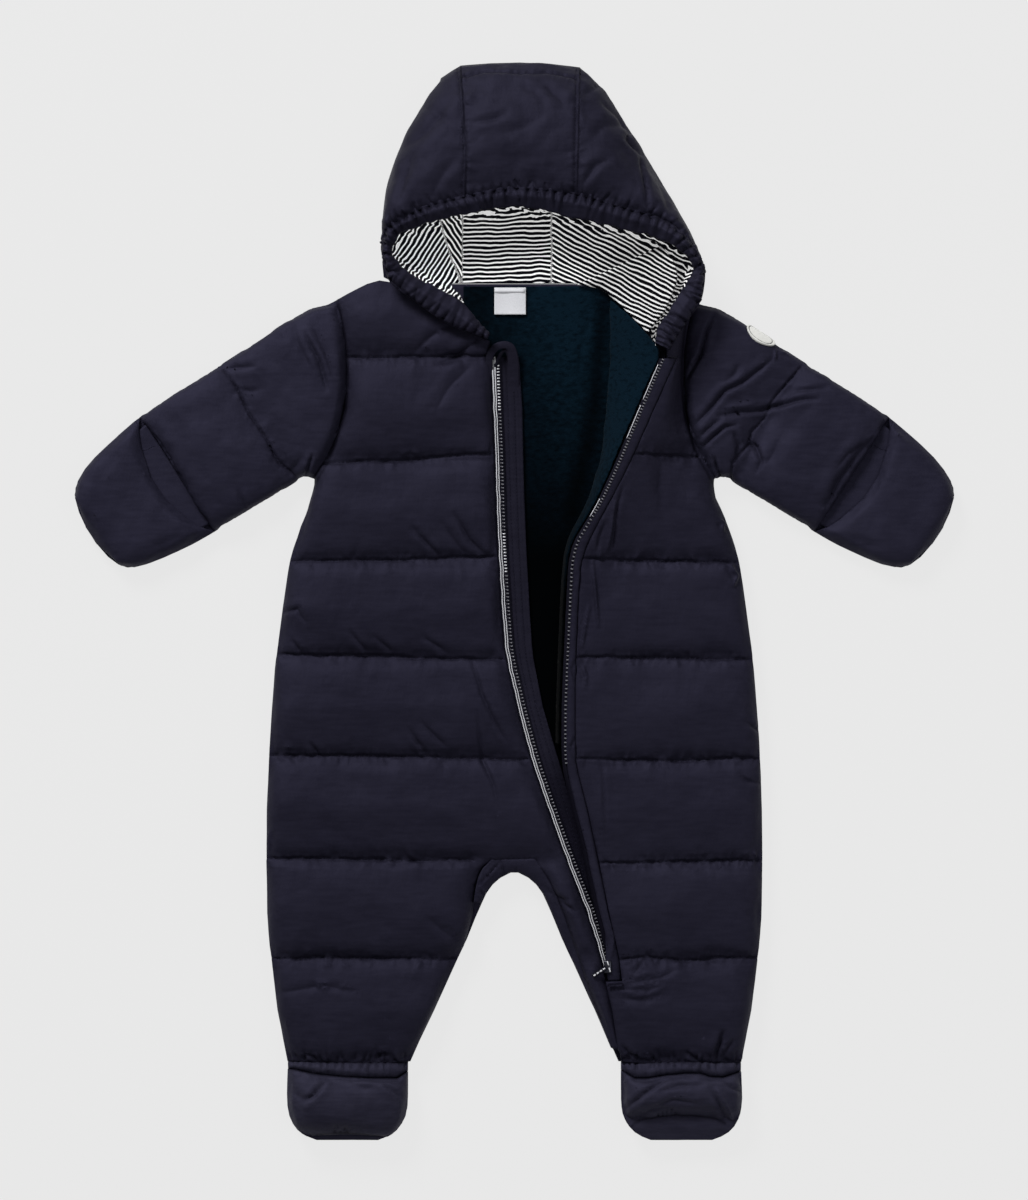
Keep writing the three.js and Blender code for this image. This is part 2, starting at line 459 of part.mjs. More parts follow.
// Back with both legs, lying on the surface
function back() {
  const rows = [NAPE_Y - SEAM_GAP, 203, 180, 160, 140, 126, 114, 103, 92, 81, 74.6, 67.5, 50, 27.5, -10, -60,
    -104, -145, CROTCH_APEX_Y, -183, -186.5, -190.5, -196, -202.5, -211, -225, -239, -266, -292, LEG_END_Y];
  const shoulder = curve([{ x: 0, y: NAPE_Y }, { x: 80, y: NAPE_Y }, { x: 118.5, y: SHOULDER_Y }], 'x', 'y');
  const half = (y) => {
    const side = bodySide(Math.min(y, SHOULDER_Y));
    const inner = y > CROTCH_APEX_Y ? 2.5 : innerLeg(y);
    const leg = [0, 4, 12].map((inset) => inner + inset);
    return [...leg, lerp(inner + 12, side - 12, 0.5), side - 12, side - 4, side];
  };
  const columnsAt = (y) => [...half(y).map((x) => -x).reverse(), ...half(y)];
  const crotchCell = 6;
  const place = (y, c) => {
    const x = columnsAt(y)[c];
    const fromSide = bodySide(Math.min(y, SHOULDER_Y)) - Math.abs(x);
    const fromLeg = y > CROTCH_APEX_Y ? EDGE_ROUND : Math.abs(x) - innerLeg(y);
    const round = roundIn(Math.min(fromSide, y > CROTCH_APEX_Y + 1 ? EDGE_ROUND : fromLeg));
    const height = y > SHOULDER_Y ? lerp(SHOULDER_Y, shoulder(Math.abs(x)), (y - SHOULDER_Y) / (NAPE_Y - SHOULDER_Y))
      : y;
    const crotch = y === CROTCH_APEX_Y && Math.abs(x) < 3 ? 0 : round;
    return [
      point(x, height, lerp(SIDE_SEAM_HEIGHT, BACK_TOP, crotch)),
      point(x, height, lerp(SIDE_SEAM_HEIGHT - EDGE_WALL, 0, crotch)),
    ];
  };
  const pairs = gridOf(rows, columnsAt(0).map((_, c) => c), place);
  const grids = [0, 1].map((layer) => pairs.map((row) => row.map((pair) => pair[layer])));
  const keep = (r, c) => c !== crotchCell || rows[r] > CROTCH_APEX_Y + 1;
  add('back_panel', solidBetween(...grids, { keep }), SHELL);
}

// Inseam gusset: crosses the crotch and runs down inside the left leg
function gusset() {
  const rows = [CROTCH_Y - SEAM_GAP, -178, CROTCH_APEX_Y, -184.5, -189, -195, -201, -208, -218, -231, -244.6, -259.5,
    -279, STRIP_END_Y];
  const stripStart = 3;
  const leftEnd = -206;
  const columnsAt = (y) => {
    const inner = innerLeg(Math.min(y, CROTCH_APEX_Y));
    const [left, right] = [legInside(y) + SEAM_GAP, gussetColumn(y) - SEAM_GAP];
    const [nearLeft, nearRight] = [Math.max(-inner, left + 1), Math.min(inner, right - 1)];
    return [left, lerp(left, nearLeft, 0.5), nearLeft, nearRight, lerp(right, nearRight, 0.5), right];
  };
  const fall = [16, 15, 12.4, 12.4, 15, 16];
  const open = (y) => y < CROTCH_APEX_Y + 1;
  const place = (y, c) => {
    const top = c === 2 || c === 3 ? (open(y) ? fall[c] : 15) : fall[c];
    const bottom = (c === 2 || c === 3) && open(y) ? SIDE_SEAM_HEIGHT + SEAM_GAP + 0.2 : FRONT_BOTTOM;
    return [point(columnsAt(y)[c], y, top), point(columnsAt(y)[c], y, bottom)];
  };
  const pairs = gridOf(rows, [0, 1, 2, 3, 4, 5], place);
  const grids = [0, 1].map((layer) => pairs.map((row) => row.map((pair) => pair[layer])));
  const keep = (r, c) => {
    if (c === 2) return !open(rows[r]);
    return c >= stripStart || rows[r + 1] >= leftEnd;
  };
  add('inseam_gusset', solidBetween(...grids, { keep }), SHELL);
}

// A strip that runs down the body between two edges, each a function of the row's y giving x and z
function strip(name, rows, edges, wall, look) {
  const outer = gridOf(rows, edges, (y, edge) => {
    const [x, z] = edge(y);
    return point(x, y, z);
  });
  const inner = outer.map((row) => row.map((p) => point(p.x, p.y, p.z - wall)));
  add(name, solidBetween(outer, inner), look);
}

function zipFly() {
  const liningTop = LINING_BOTTOM + LINING_WALL;
  const rightRows = quiltRows(QUILTING_RIGHT, CROTCH_ROWS);
  const flapTop = 13;
  const flapWall = flapTop - liningTop - SEAM_GAP;
  strip('wind_flap', rightRows.filter((y) => y > WIND_FLAP_END_Y), [
    (y) => [zipEdge(y) + SEAM_GAP, flapTop],
    (y) => [windFlapEdge(y), flapTop],
  ], flapWall, SHELL_LIGHT);
  strip('zip_tape_right', rightRows.filter((y) => y > WIND_FLAP_END_Y), [
    (y) => [zipEdge(y) + SEAM_GAP, ZIP_EDGE_TOP + 0.2],
    (y) => [zipEdge(y) + 3.6, ZIP_EDGE_TOP + 0.4],
    (y) => [zipEdge(y) + Math.min(6.8, teethLine(y) - 1.6 - zipEdge(y)), ZIP_EDGE_TOP],
  ], TAPE_WALL, TAPE);
  const lapelRows = leftFrontRows.filter((y) => y <= ZIP_TOP_LEFT_Y && y >= FACING_END_Y);
  strip('zip_facing_left', lapelRows, [
    (y) => [facingSeam(y) - SEAM_GAP, ridgeHeight(y) - 1.2],
    (y) => [lerp(facingSeam(y), teethLine(y), 0.45), ridgeHeight(y) - 0.1],
    (y) => [teethLine(y), ridgeHeight(y)],
  ], FACING_WALL, SHELL);
  const foldedRows = lapelRows.filter((y) => y > TAPE_LEFT_END_Y);
  strip('zip_tape_left', foldedRows, [
    (y) => [teethLine(y) - SEAM_GAP, ridgeHeight(y) - 0.4],
    (y) => [teethLine(y) - 1.9, ridgeHeight(y) - 1.3],
    (y) => [teethLine(y) - 3, ridgeHeight(y) - 3],
  ], TAPE_WALL, TAPE);
}

// Fleece on the back, seen in the open front, and the turned lining of the left front
function fleece() {
  const rows = [NAPE_Y - 2, 195, 175, 150, 125, 100, 75, 50, 28, 0, -30, -55, -80, -100, -118];
  strip('back_lining', rows, [
    (y) => [Math.min(zipEdge(y) - 10, y > 172 ? -34 : 0), LINING_BOTTOM + LINING_WALL],
    (y) => [lerp(zipEdge(y) - 10, lapelFoot(y) + 10, 0.5), LINING_BOTTOM + LINING_WALL],
    (y) => [lapelFoot(Math.min(y, ZIP_TOP_LEFT_Y)) + 10, LINING_BOTTOM + LINING_WALL],
  ], LINING_WALL, FLEECE);
  const neckEdge = curve([
    { x: 64, y: 203 }, { x: 70, y: 197 }, { x: 79, y: 187.5 }, { x: 88, y: 178 }, { x: 96, y: 168 },
  ], 'x', 'y');
  const lapelRows = [ZIP_TOP_LEFT_Y, 150, 139, 128, 117, 109, 101, 93, 85, 77, 69, 62, 55, 48, 42.5, 36, 30, 13,
    -10, -40, -70, -95];
  const slopeRows = [{ share: 1 }, { share: 0.5 }, ...lapelRows.map((y) => ({ y }))];
  const slope = gridOf(slopeRows, [0, 0.16, 0.4, 0.66, 1], ({ y, share }, down) => {
    const level = y ?? ZIP_TOP_LEFT_Y;
    const [high, low] = [teethLine(level) - 3.4, lapelFoot(level)];
    const height = ridgeHeight(level) - 4.6;
    const x = lerp(high, low, down ** 0.9);
    const z = lerp(height, LINING_FLOOR, down ** 1.25);
    const rise = share ? share * Math.max(neckEdge(x) - level, 2) : 0;
    return point(x, level + rise, z);
  });
  add('front_left_lining', solidBetween(slope, offset(slope, -TURNED_LINING_WALL)), FLEECE);
}

// Hood: ribs from the casing over the crown and back under to the nape
const casing = curvesOf(CASING, ['ox', 'oy', 'ix', 'iy', 'z']);
const ribs = curvesOf(HOOD_RIBS, ['sx', 'sy', 'kx', 'ky']);

function hoodGrid(stations) {
  return HOOD_COURSE.map(({ out, under, rise }) => stations.map((at) => {
    const start = point(casing.ox(at), casing.oy(at), 0);
    const outline = point(ribs.sx(at), ribs.sy(at), 0);
    const reach = start.distanceTo(outline);
    const wide = clamp((reach - 4) / HOOD_WIDE_REACH, 0, 1);
    const clear = start.clone().lerp(outline, 0.5 / Math.max(reach, 1.2));
    const place = clear.lerp(outline, out).lerp(point(ribs.kx(at), ribs.ky(at), 0), under);
    const peak = casing.z(at) - lerp(CASING_DEPTH + 1.6, 0, wide);
    place.z = lerp(Math.min(rise, 1), rise, wide) * peak;
    return place;
  }));
}

// The hood's three panels meet at two seams over the crown; each has its lining on the floor it lies on
function hood() {
  const panels = [
    { name: 'side_right', first: 4, last: 7, steps: 8, liningFirst: 5.7, liningLast: 7 },
    { name: 'centre', first: 7, last: 9, steps: 4, liningFirst: 7, liningLast: 9 },
    { name: 'side_left', first: 9, last: 13, steps: 10, liningFirst: 9, liningLast: 11.3 },
  ];
  const between = (first, last, steps) => evenly(
    first + (first > 4 ? HOOD_SEAM_INSET : 0), last - (last < 13 ? HOOD_SEAM_INSET : 0), steps);
  for (const { name, first, last, steps, liningFirst, liningLast } of panels) {
    const stations = between(first, last, steps);
    const outer = hoodGrid(stations);
    const besides = [-HOOD_SLOPE_STEP, HOOD_SLOPE_STEP].map((step) => hoodGrid(stations.map((at) => at + step)));
    const inner = offset(outer, HOOD_WALL, ...besides)
      .map((row) => row.map((p) => p.setZ(Math.max(p.z, HOOD_WALL / 2))));
    add(`hood_${name}`, solidBetween(outer, inner), SHELL);
    const sheet = (z) => gridOf(HOOD_LINING_ROWS, between(liningFirst, liningLast, 4), (under, at) => point(
      lerp(ribs.sx(at), ribs.kx(at), under), lerp(ribs.sy(at), ribs.ky(at), under), z));
    const bottom = HOOD_WALL + HOOD_LINING_GAP;
    add(`hood_lining_${name}`, solidBetween(sheet(bottom + HOOD_LINING_WALL), sheet(bottom)), JERSEY);
  }
}

// Elastic casing round the face, gathered
function hoodCasing() {
  const steps = CASING_GATHERS * CASING_STEPS_PER_GATHER;
  const stations = evenly(0, 17, steps);
  const profile = [{ across: 0, top: 0 }, { across: 0.5, top: 1.1 }, { across: 1, top: -0.5 }];
  const wave = (at) => Math.sin((at / 17) * CASING_GATHERS * 2 * Math.PI);
  const make = (lift) => profile.map(({ across, top }) => stations.map((at) => {
    const gather = wave(at) * CASING_GATHER_RISE * (0.4 + 0.6 * across);
    const x = lerp(casing.ox(at), casing.ix(at), across);
    const y = lerp(casing.oy(at), casing.iy(at), across);
    return point(x, y, casing.z(at) + lift(top, gather));
  }));
  const outer = make((top, gather) => top * CASING_BULGE + gather);
  const inner = make((top, gather) => -CASING_DEPTH + gather * 0.5 - top * 0.2);
  add('hood_casing', solidBetween(outer, inner), SHELL);
}

// Striped lining that joins the neck seam to the casing on the open left side
function neckLining() {
  const columns = evenly(0, 4, 8);
  const value = curvesOf(NECK_LINING, ['nx', 'ny', 'nz', 'ix', 'iy', 'iz']);
  const grid = evenly(0, 1, 4).map((share) => columns.map((at) => point(
    lerp(value.nx(at), value.ix(at), share),
    lerp(value.ny(at), value.iy(at), share),
    lerp(value.nz(at), value.iz(at), share) - Math.sin(Math.PI * share) * 2,
  )));
  add('hood_lining_neck_left', solidBetween(grid, offset(grid, HOOD_LINING_WALL)), JERSEY);
}

// Sleeves, mittens, cuffs and booties are made for the wearer's right and mirrored for the left
const sides = [{ side: 'right', sign: 1 }, { side: 'left', sign: -1 }];
const mirrored = (grid, sign) => grid.map((row) => row.map((p) => point(p.x * sign, p.y, p.z)));

const sleeveAt = curvesOf(SLEEVE, ['ax', 'ay', 'bx', 'by', 'bow', 'top']);

// A point on the sleeve's outside: around runs from 0 at the lower edge, over the top, to 1
function sleevePoint(at, around, inset = 0) {
  const angle = around * 2 * Math.PI;
  const a = point(sleeveAt.ax(at), sleeveAt.ay(at), 0);
  const b = point(sleeveAt.bx(at), sleeveAt.by(at), 0);
  const width = a.distanceTo(b);
  const along = point(b.y - a.y, a.x - b.x, 0).normalize();
  const squared = (value, power) => Math.sign(value) * Math.abs(value) ** power;
  const share = 0.5 - 0.5 * squared(Math.cos(angle), 0.8) * (1 - (2 * inset) / width);
  const middle = sleeveAt.top(at) * 0.45;
  const reach = Math.sin(angle) > 0 ? sleeveAt.top(at) - middle : middle;
  const height = inset ? squared(Math.sin(angle), 0.5) * SLEEVE_SLIT * 0.5 : squared(Math.sin(angle), 0.62) * reach;
  const place = b.lerp(a, share);
  place.addScaledVector(along, -sleeveAt.bow(at) * Math.sin(Math.PI * share));
  const armhole = -(bodySide(place.y) + ARMHOLE_GAP);
  place.x = lerp(armhole, place.x, clamp(at / ARMHOLE_BLEND, 0, 1));
  place.z = Math.max(middle + height, 0);
  return place;
}

function sleeves() {
  const angles = evenly(0, 1, SLEEVE_SIDES).slice(0, -1);
  const outer = gridOf(SLEEVE_STEPS, angles, (at, around) => sleevePoint(at, around));
  const inner = gridOf(SLEEVE_STEPS, angles, (at, around) => sleevePoint(at, around, SLEEVE_WALL));
  for (const { side, sign } of sides) {
    add(`sleeve_${side}`, solidBetween(mirrored(outer, sign), mirrored(inner, sign), { wrap: true }), SHELL);
  }
}

// Mitten frame: across the sleeve's end and outwards from it
const endNear = point(SLEEVE.at(-1).ax, SLEEVE.at(-1).ay, 0);
const endFar = point(SLEEVE.at(-1).bx, SLEEVE.at(-1).by, 0);
const acrossArm = endFar.clone().sub(endNear).normalize();
const outOfArm = point(acrossArm.y, -acrossArm.x, 0);
const onHand = (c, n, z) => endNear.clone().addScaledVector(acrossArm, c).addScaledVector(outOfArm, n).setZ(z);
const mittenNear = curve(MITTEN, 'n', 'near');
const mittenFar = curve(MITTEN, 'n', 'far');
const ACROSS = [0, 0.05, 0.17, 0.4, 0.6, 0.83, 0.95, 1];
const CUFF_ACROSS = [0.07, 0.2, 0.4, 0.6, 0.8, 0.93];

function mittens() {
  const tip = MITTEN.at(-1).n;
  const edgeOf = (n, share) => {
    const [near, far] = [mittenNear(n), mittenFar(n)];
    const c = lerp(near, far, share);
    return { c, round: roundIn(Math.min(c - near, far - c, (tip - n) * 1.1), 14) };
  };
  const rows = [SEAM_GAP, 6, 12, 18, 26, 38, 48, 56, 62, 66, 69, tip];
  const backs = [0, 1].map((layer) => gridOf(rows, ACROSS, (n, share) => {
    const { c, round } = edgeOf(n, share);
    const z = layer ? lerp(MITTEN_SEAM_HEIGHT - EDGE_WALL, 0, round) : MITTEN_SEAM_HEIGHT;
    return onHand(c, n, z);
  }));
  const cuffTop = MITTEN_SEAM_HEIGHT + SEAM_GAP + 2.4;
  const cuffs = [0, 1].map((layer) => gridOf([SEAM_GAP, 7, 14, CUFF_REACH], CUFF_ACROSS, (n, share) => {
    const { c } = edgeOf(n, share);
    return onHand(c, n, layer ? MITTEN_SEAM_HEIGHT + SEAM_GAP : cuffTop);
  }));
  const flapShares = [0, 0.04, 0.1, 0.24, 0.4, 0.56, 0.7, 0.82, 0.92, 1];
  const flaps = [0, 1].map((layer) => gridOf(flapShares, ACROSS, (down, share) => {
    const start = 1.2 + MITTEN_FLAP_BOW * Math.sin(Math.PI * share) ** 0.8;
    const n = lerp(start, tip, down);
    const { c, round } = edgeOf(n, share);
    const overCuff = n < CUFF_REACH + 10 && share > 0 && share < 1;
    const floor = overCuff ? cuffTop + SEAM_GAP : MITTEN_SEAM_HEIGHT + SEAM_GAP;
    const lip = lerp(cuffTop + 2.2, MITTEN_TOP, clamp(down * 9, 0, 1));
    return onHand(c, n, layer ? floor : lerp(floor + EDGE_WALL, Math.max(lip, floor + EDGE_WALL), round));
  }));
  for (const { side, sign } of sides) {
    add(`mitten_back_${side}`, solidBetween(mirrored(backs[0], sign), mirrored(backs[1], sign)), SHELL_LIGHT);
    add(`cuff_${side}`, solidBetween(mirrored(cuffs[0], sign), mirrored(cuffs[1], sign)), SHELL_LIGHT);
    add(`mitten_flap_${side}`, solidBetween(mirrored(flaps[0], sign), mirrored(flaps[1], sign)), SHELL_LIGHT);
  }
}

// Elastic casing round each ankle, then the bootie's upper and sole
const bootieNear = curve(BOOTIE, 'y', 'near');
const bootieFar = curve(BOOTIE, 'y', 'far');
const ANKLE_GATHERS = 11;
const ANKLE_SIDES = 44;
const ANKLE_WALL = 4.5;

function ankles() {
  const rows = [
    { y: LEG_END_Y - SEAM_GAP, top: 15.6 }, { y: -310.4, top: 18.8 }, { y: ANKLE_END_Y, top: 16 },
  ];
  const angles = evenly(0, 1, ANKLE_SIDES).slice(0, -1);
  const ring = (inset) => gridOf(rows, angles, ({ y, top }, around) => {
    const angle = around * 2 * Math.PI;
    const [near, far] = [71, 151.2];
    const middle = top * 0.5;
    const upper = Math.sin(angle) > 0.01;
    const gather = upper && !inset ? Math.sin(around * 4 * Math.PI * ANKLE_GATHERS) * 0.8 : 0;
    const flat = Math.sign(Math.sin(angle)) * Math.abs(Math.sin(angle)) ** 0.6;
    const x = lerp(near + inset, far - inset, 0.5 - 0.5 * Math.cos(angle));
    const rise = inset ? flat * 1.5 : flat * middle + gather * Math.abs(flat);
    return point(-x, y, Math.max(middle + rise, 0));
  });
  for (const { side, sign } of sides) {
    const [outer, inner] = [mirrored(ring(0), sign), mirrored(ring(ANKLE_WALL), sign)];
    add(`ankle_casing_${side}`, solidBetween(outer, inner, { wrap: true }), SHELL);
  }
}

function booties() {
  const end = BOOTIE.at(-1).y;
  const edge = (y, share) => {
    const [near, far] = [bootieNear(y), bootieFar(y)];
    const x = lerp(near, far, share);
    return { x, round: roundIn(Math.min(x - near, far - x), 15) };
  };
  const upperShares = [0, 0.06, 0.16, 0.34, 0.52, 0.68, 0.8, 0.9, 0.96, 1];
  for (const { side, sign } of sides) {
    const toe = TOE_SEAM[side];
    const upper = [0, 1].map((layer) => gridOf(upperShares, ACROSS, (down, share) => {
      const seamY = toe - (1 - Math.sin(Math.PI * share)) * 4 * (side === 'left' ? 1 : 0.3);
      const y = lerp(BOOTIE[0].y, seamY, down);
      const { x, round } = edge(y, share);
      const crown = lerp(16, BOOTIE_TOP, Math.sin(Math.PI * clamp(down * 0.94 + 0.06, 0, 1)) ** 0.6);
      const bottom = BOOTIE_SEAM_HEIGHT + SEAM_GAP;
      return point(-x, y, layer ? bottom : lerp(bottom + EDGE_WALL, Math.max(crown, bottom + EDGE_WALL), round));
    }));
    const soleRows = [BOOTIE[0].y, -325, -338, -345, -350, -354, -357, end];
    const sole = [0, 1].map((layer) => gridOf(soleRows, ACROSS, (y, share) => {
      const { x, round } = edge(y, share);
      const heel = Math.min(round, roundIn(y - end + 1.5, 12));
      return point(-x, y, layer ? lerp(BOOTIE_SEAM_HEIGHT - 4, 0, heel) : BOOTIE_SEAM_HEIGHT);
    }));
    add(`bootie_upper_${side}`, solidBetween(mirrored(upper[0], sign), mirrored(upper[1], sign)), SHELL_LIGHT);
    add(`bootie_sole_${side}`, solidBetween(mirrored(sole[0], sign), mirrored(sole[1], sign)), SHELL_LIGHT);
  }
}

// Neck label, shoulder badge, zip slider with its pull tab, and the tab that ends the zip
function trims() {
  const labelZ = LINING_BOTTOM + LINING_WALL + SEAM_GAP;
  const label = new THREE.BoxGeometry(LABEL.right - LABEL.left, LABEL.top - LABEL.bottom, LABEL.wall);
  add('neck_label', label, WHITE).position.set(
    (LABEL.left + LABEL.right) / 2, (LABEL.top + LABEL.bottom) / 2, labelZ + LABEL.wall / 2);

  const rings = [0.02, 0.4, 0.72, 1];
  const turns = evenly(0, 1, 20).slice(0, -1);
  const badge = gridOf(rings, turns, (radius, turn) => {
    const angle = turn * 2 * Math.PI;
    const along = BADGE.along + radius * Math.cos(angle) * BADGE.alongReach;
    return sleevePoint(along, BADGE.around + radius * Math.sin(angle) * BADGE.aroundReach);
  });
  const outward = point(BADGE.leanX, BADGE.leanY, 1).normalize();
  const lift = (distance) => badge.map((row) => row.map((p) => p.clone().addScaledVector(outward, distance)));
  const badgeGrids = [BADGE.seat + BADGE.wall, BADGE.seat].map(lift);
  add('shoulder_badge', solidBetween(...badgeGrids.map((grid) => mirrored(grid, -1)), { wrap: true }), WHITE);

  const slider = new THREE.BoxGeometry(SLIDER.width, SLIDER.length, SLIDER.height);
  add('zip_slider', slider, METAL).position.set(SLIDER.x, SLIDER.y, SLIDER.bottom + SLIDER.height / 2);
  const pull = new THREE.BoxGeometry(PULL.length, PULL.width, PULL.wall);
  const pullMesh = add('zip_pull', pull, WHITE);
  const turn = degToRad(PULL.turn);
  pullMesh.rotation.z = turn;
  const reach = PULL.length / 2 + PULL.pin;
  pullMesh.position.set(
    SLIDER.x + Math.cos(turn) * reach, SLIDER.y + Math.sin(turn) * reach,
    SLIDER.bottom + SLIDER.height + SEAM_GAP + PULL.wall / 2);
  const tab = new THREE.BoxGeometry(END_TAB.right - END_TAB.left, END_TAB.top - END_TAB.bottom, END_TAB.wall);
  add('zip_end_tab', tab, TAPE).position.set(
    (END_TAB.left + END_TAB.right) / 2, (END_TAB.top + END_TAB.bottom) / 2, END_TAB.bottomZ + END_TAB.wall / 2);
}

back();
rightFront();
leftFront();
gusset();
zipFly();
fleece();
hood();
hoodCasing();
neckLining();
sleeves();
mittens();
ankles();
booties();
trims();

export default suit;
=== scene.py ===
# %% [markdown]
# # A baby snowsuit, laid out flat with its zip open
# The real garment is padded nylon: quilted panels over a light filling, a fleece and jersey lining, and one long zip.
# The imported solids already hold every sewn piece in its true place, so each one is copied, cut into small faces
# and given what a rigid solid leaves out: the pull of the quilting, puckers, creases, stitches and cloth.

import math

import bmesh
import bpy
import numpy as np
from mathutils import Matrix, Vector, noise
from mathutils.bvhtree import BVHTree
from mathutils.kdtree import KDTree


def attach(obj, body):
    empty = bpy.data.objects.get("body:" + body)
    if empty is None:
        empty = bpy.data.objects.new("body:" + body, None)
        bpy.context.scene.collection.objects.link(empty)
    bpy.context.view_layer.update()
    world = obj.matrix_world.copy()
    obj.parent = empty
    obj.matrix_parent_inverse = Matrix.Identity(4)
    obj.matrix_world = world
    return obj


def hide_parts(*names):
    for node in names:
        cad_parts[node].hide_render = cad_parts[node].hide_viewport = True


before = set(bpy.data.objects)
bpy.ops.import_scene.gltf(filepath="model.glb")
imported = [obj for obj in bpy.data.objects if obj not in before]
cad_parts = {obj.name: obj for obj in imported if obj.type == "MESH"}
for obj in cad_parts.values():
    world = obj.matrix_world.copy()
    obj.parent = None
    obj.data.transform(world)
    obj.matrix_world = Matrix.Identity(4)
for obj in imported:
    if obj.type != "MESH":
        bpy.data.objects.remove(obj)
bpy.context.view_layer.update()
MM = 0.001

# %% [markdown]
# ## Camera
# The garment is photographed from straight above. A long lens four metres up keeps the hood, which stands
# a few centimetres high, as large as the cloth that lies on the floor.

# %% Camera
CAMERA_HEIGHT = 4.0
SHARP_HEIGHT = 0.014
VIEW_HEIGHT = 0.8
SENSOR = 36.0

camera_data = bpy.data.cameras.new("camera")
camera_data.sensor_width = SENSOR
camera_data.lens = SENSOR * (CAMERA_HEIGHT - SHARP_HEIGHT) / VIEW_HEIGHT
camera_data.clip_end = 20
camera = bpy.data.objects.new("camera", camera_data)
camera.location = (-0.0003, 0.0008, CAMERA_HEIGHT)
bpy.context.collection.objects.link(camera)
bpy.context.scene.camera = camera
print("lens", round(camera_data.lens, 1), "mm")

# %% [markdown]
# ## Light and floor
# The photograph is lit softly from above, a little from the top left, so the sewn lines read as thin dark
# grooves. One broad box hangs there, a weaker one opposite, and the room adds a pale even light. The floor is
# a plain pale card that glows a little, so that the garment leaves hardly a shadow on it.

# %% Light and floor
ROOM_LIGHT = 0.25
BOXES = [
    {"name": "key", "place": (-1.4, 2.5, 2.0), "size": 1.2, "power": 112},
    {"name": "fill", "place": (1.9, -0.6, 2.6), "size": 2.2, "power": 20},
]
FLOOR_SIZE = 4.0


def srgb(*levels):
    """A colour from 8-bit display levels, as the shader wants it."""
    shares = [level / 255 for level in levels]
    return tuple(s / 12.92 if s <= 0.04045 else ((s + 0.055) / 1.055) ** 2.4 for s in shares) + (1.0,)


world = bpy.data.worlds.new("room")
world.use_nodes = True
world.node_tree.nodes["Background"].inputs["Color"].default_value = (1.0, 1.0, 1.0, 1.0)
world.node_tree.nodes["Background"].inputs["Strength"].default_value = ROOM_LIGHT
bpy.context.scene.world = world
bpy.context.scene.view_settings.view_transform = "Standard"

for box in BOXES:
    light = bpy.data.lights.new(box["name"], "AREA")
    light.shape, light.size, light.energy = "DISK", box["size"], box["power"]
    lamp = bpy.data.objects.new(box["name"], light)
    lamp.location = box["place"]
    lamp.rotation_euler = (-Vector(box["place"])).to_track_quat("-Z", "Y").to_euler()
    bpy.context.collection.objects.link(lamp)

floor_mesh = bpy.data.meshes.new("floor")
bm = bmesh.new()
bmesh.ops.create_grid(bm, x_segments=1, y_segments=1, size=FLOOR_SIZE)
bm.to_mesh(floor_mesh)
bm.free()
floor = bpy.data.objects.new("floor", floor_mesh)
bpy.context.collection.objects.link(floor)
print("lights", len(BOXES))

# %% [markdown]
# ## Cloth effects used by several materials
# A weave, a knit pile and the slight unevenness of dyed cloth come back on many pieces, so each is a node
# group. The groups read the piece's own place, so the cloth doesn't slide when the view changes.

# %% Node helpers
def new_material(name, roughness, color, **sockets):
    material = bpy.data.materials.new(name)
    material.use_nodes = True
    shader = material.node_tree.nodes["Principled BSDF"]
    shader.inputs["Roughness"].default_value = roughness
    shader.inputs["Base Color"].default_value = color
    for socket, value in sockets.items():
        shader.inputs[socket.replace("_", " ")].default_value = value
    return material, material.node_tree, shader


def new_group(name, inputs, outputs):
    group = bpy.data.node_groups.new(name, "ShaderNodeTree")
    for label, kind, value in inputs:
        socket = group.interface.new_socket(label, in_out="INPUT", socket_type=kind)
        if value is not None:
            socket.default_value = value
    for label, kind in outputs:
        group.interface.new_socket(label, in_out="OUTPUT", socket_type=kind)
    return group, group.nodes.new("NodeGroupInput"), group.nodes.new("NodeGroupOutput")


def math_node(tree, operation, first, second=None, third=None):
    node = tree.nodes.new("ShaderNodeMath")
    node.operation = operation
    for socket, value in zip(node.inputs, (first, second, third)):
        if value is None:
            continue
        if isinstance(value, (int, float)):
            socket.default_value = value
        else:
            tree.links.new(value, socket)
    return node.outputs[0]


def noise_node(tree, vector, scale, detail=2.0, stretch=None):
    node = tree.nodes.new("ShaderNodeTexNoise")
    node.inputs["Scale"].default_value = scale
    node.inputs["Detail"].default_value = detail
    if stretch:
        mapping = tree.nodes.new("ShaderNodeMapping")
        mapping.inputs["Scale"].default_value = stretch
        tree.links.new(vector, mapping.inputs["Vector"])
        vector = mapping.outputs["Vector"]
    tree.links.new(vector, node.inputs["Vector"])
    return node.outputs["Fac"]


# %% Node groups
FLOAT, VECTOR = "NodeSocketFloat", "NodeSocketVector"

# Plain weave: threads over and under each other, with thicker slubs here and there
weave, entry, leave = new_group(
    "plain_weave", [("Place", VECTOR, None), ("Threads per metre", FLOAT, 1600.0)],
    [("Height", FLOAT), ("Slub", FLOAT)])
split = weave.nodes.new("ShaderNodeSeparateXYZ")
weave.links.new(entry.outputs["Place"], split.inputs[0])
turns = math_node(weave, "MULTIPLY", entry.outputs["Threads per metre"], 2 * math.pi)
tilted = math_node(weave, "ADD", split.outputs["Y"], split.outputs["Z"])
warp = math_node(weave, "SINE", math_node(weave, "MULTIPLY", split.outputs["X"], turns))
weft = math_node(weave, "SINE", math_node(weave, "MULTIPLY", tilted, turns))
weave.links.new(math_node(weave, "MULTIPLY", warp, weft), leave.inputs["Height"])
weave.links.new(noise_node(weave, entry.outputs["Place"], 420, 3, (0.16, 1.0, 1.0)), leave.inputs["Slub"])

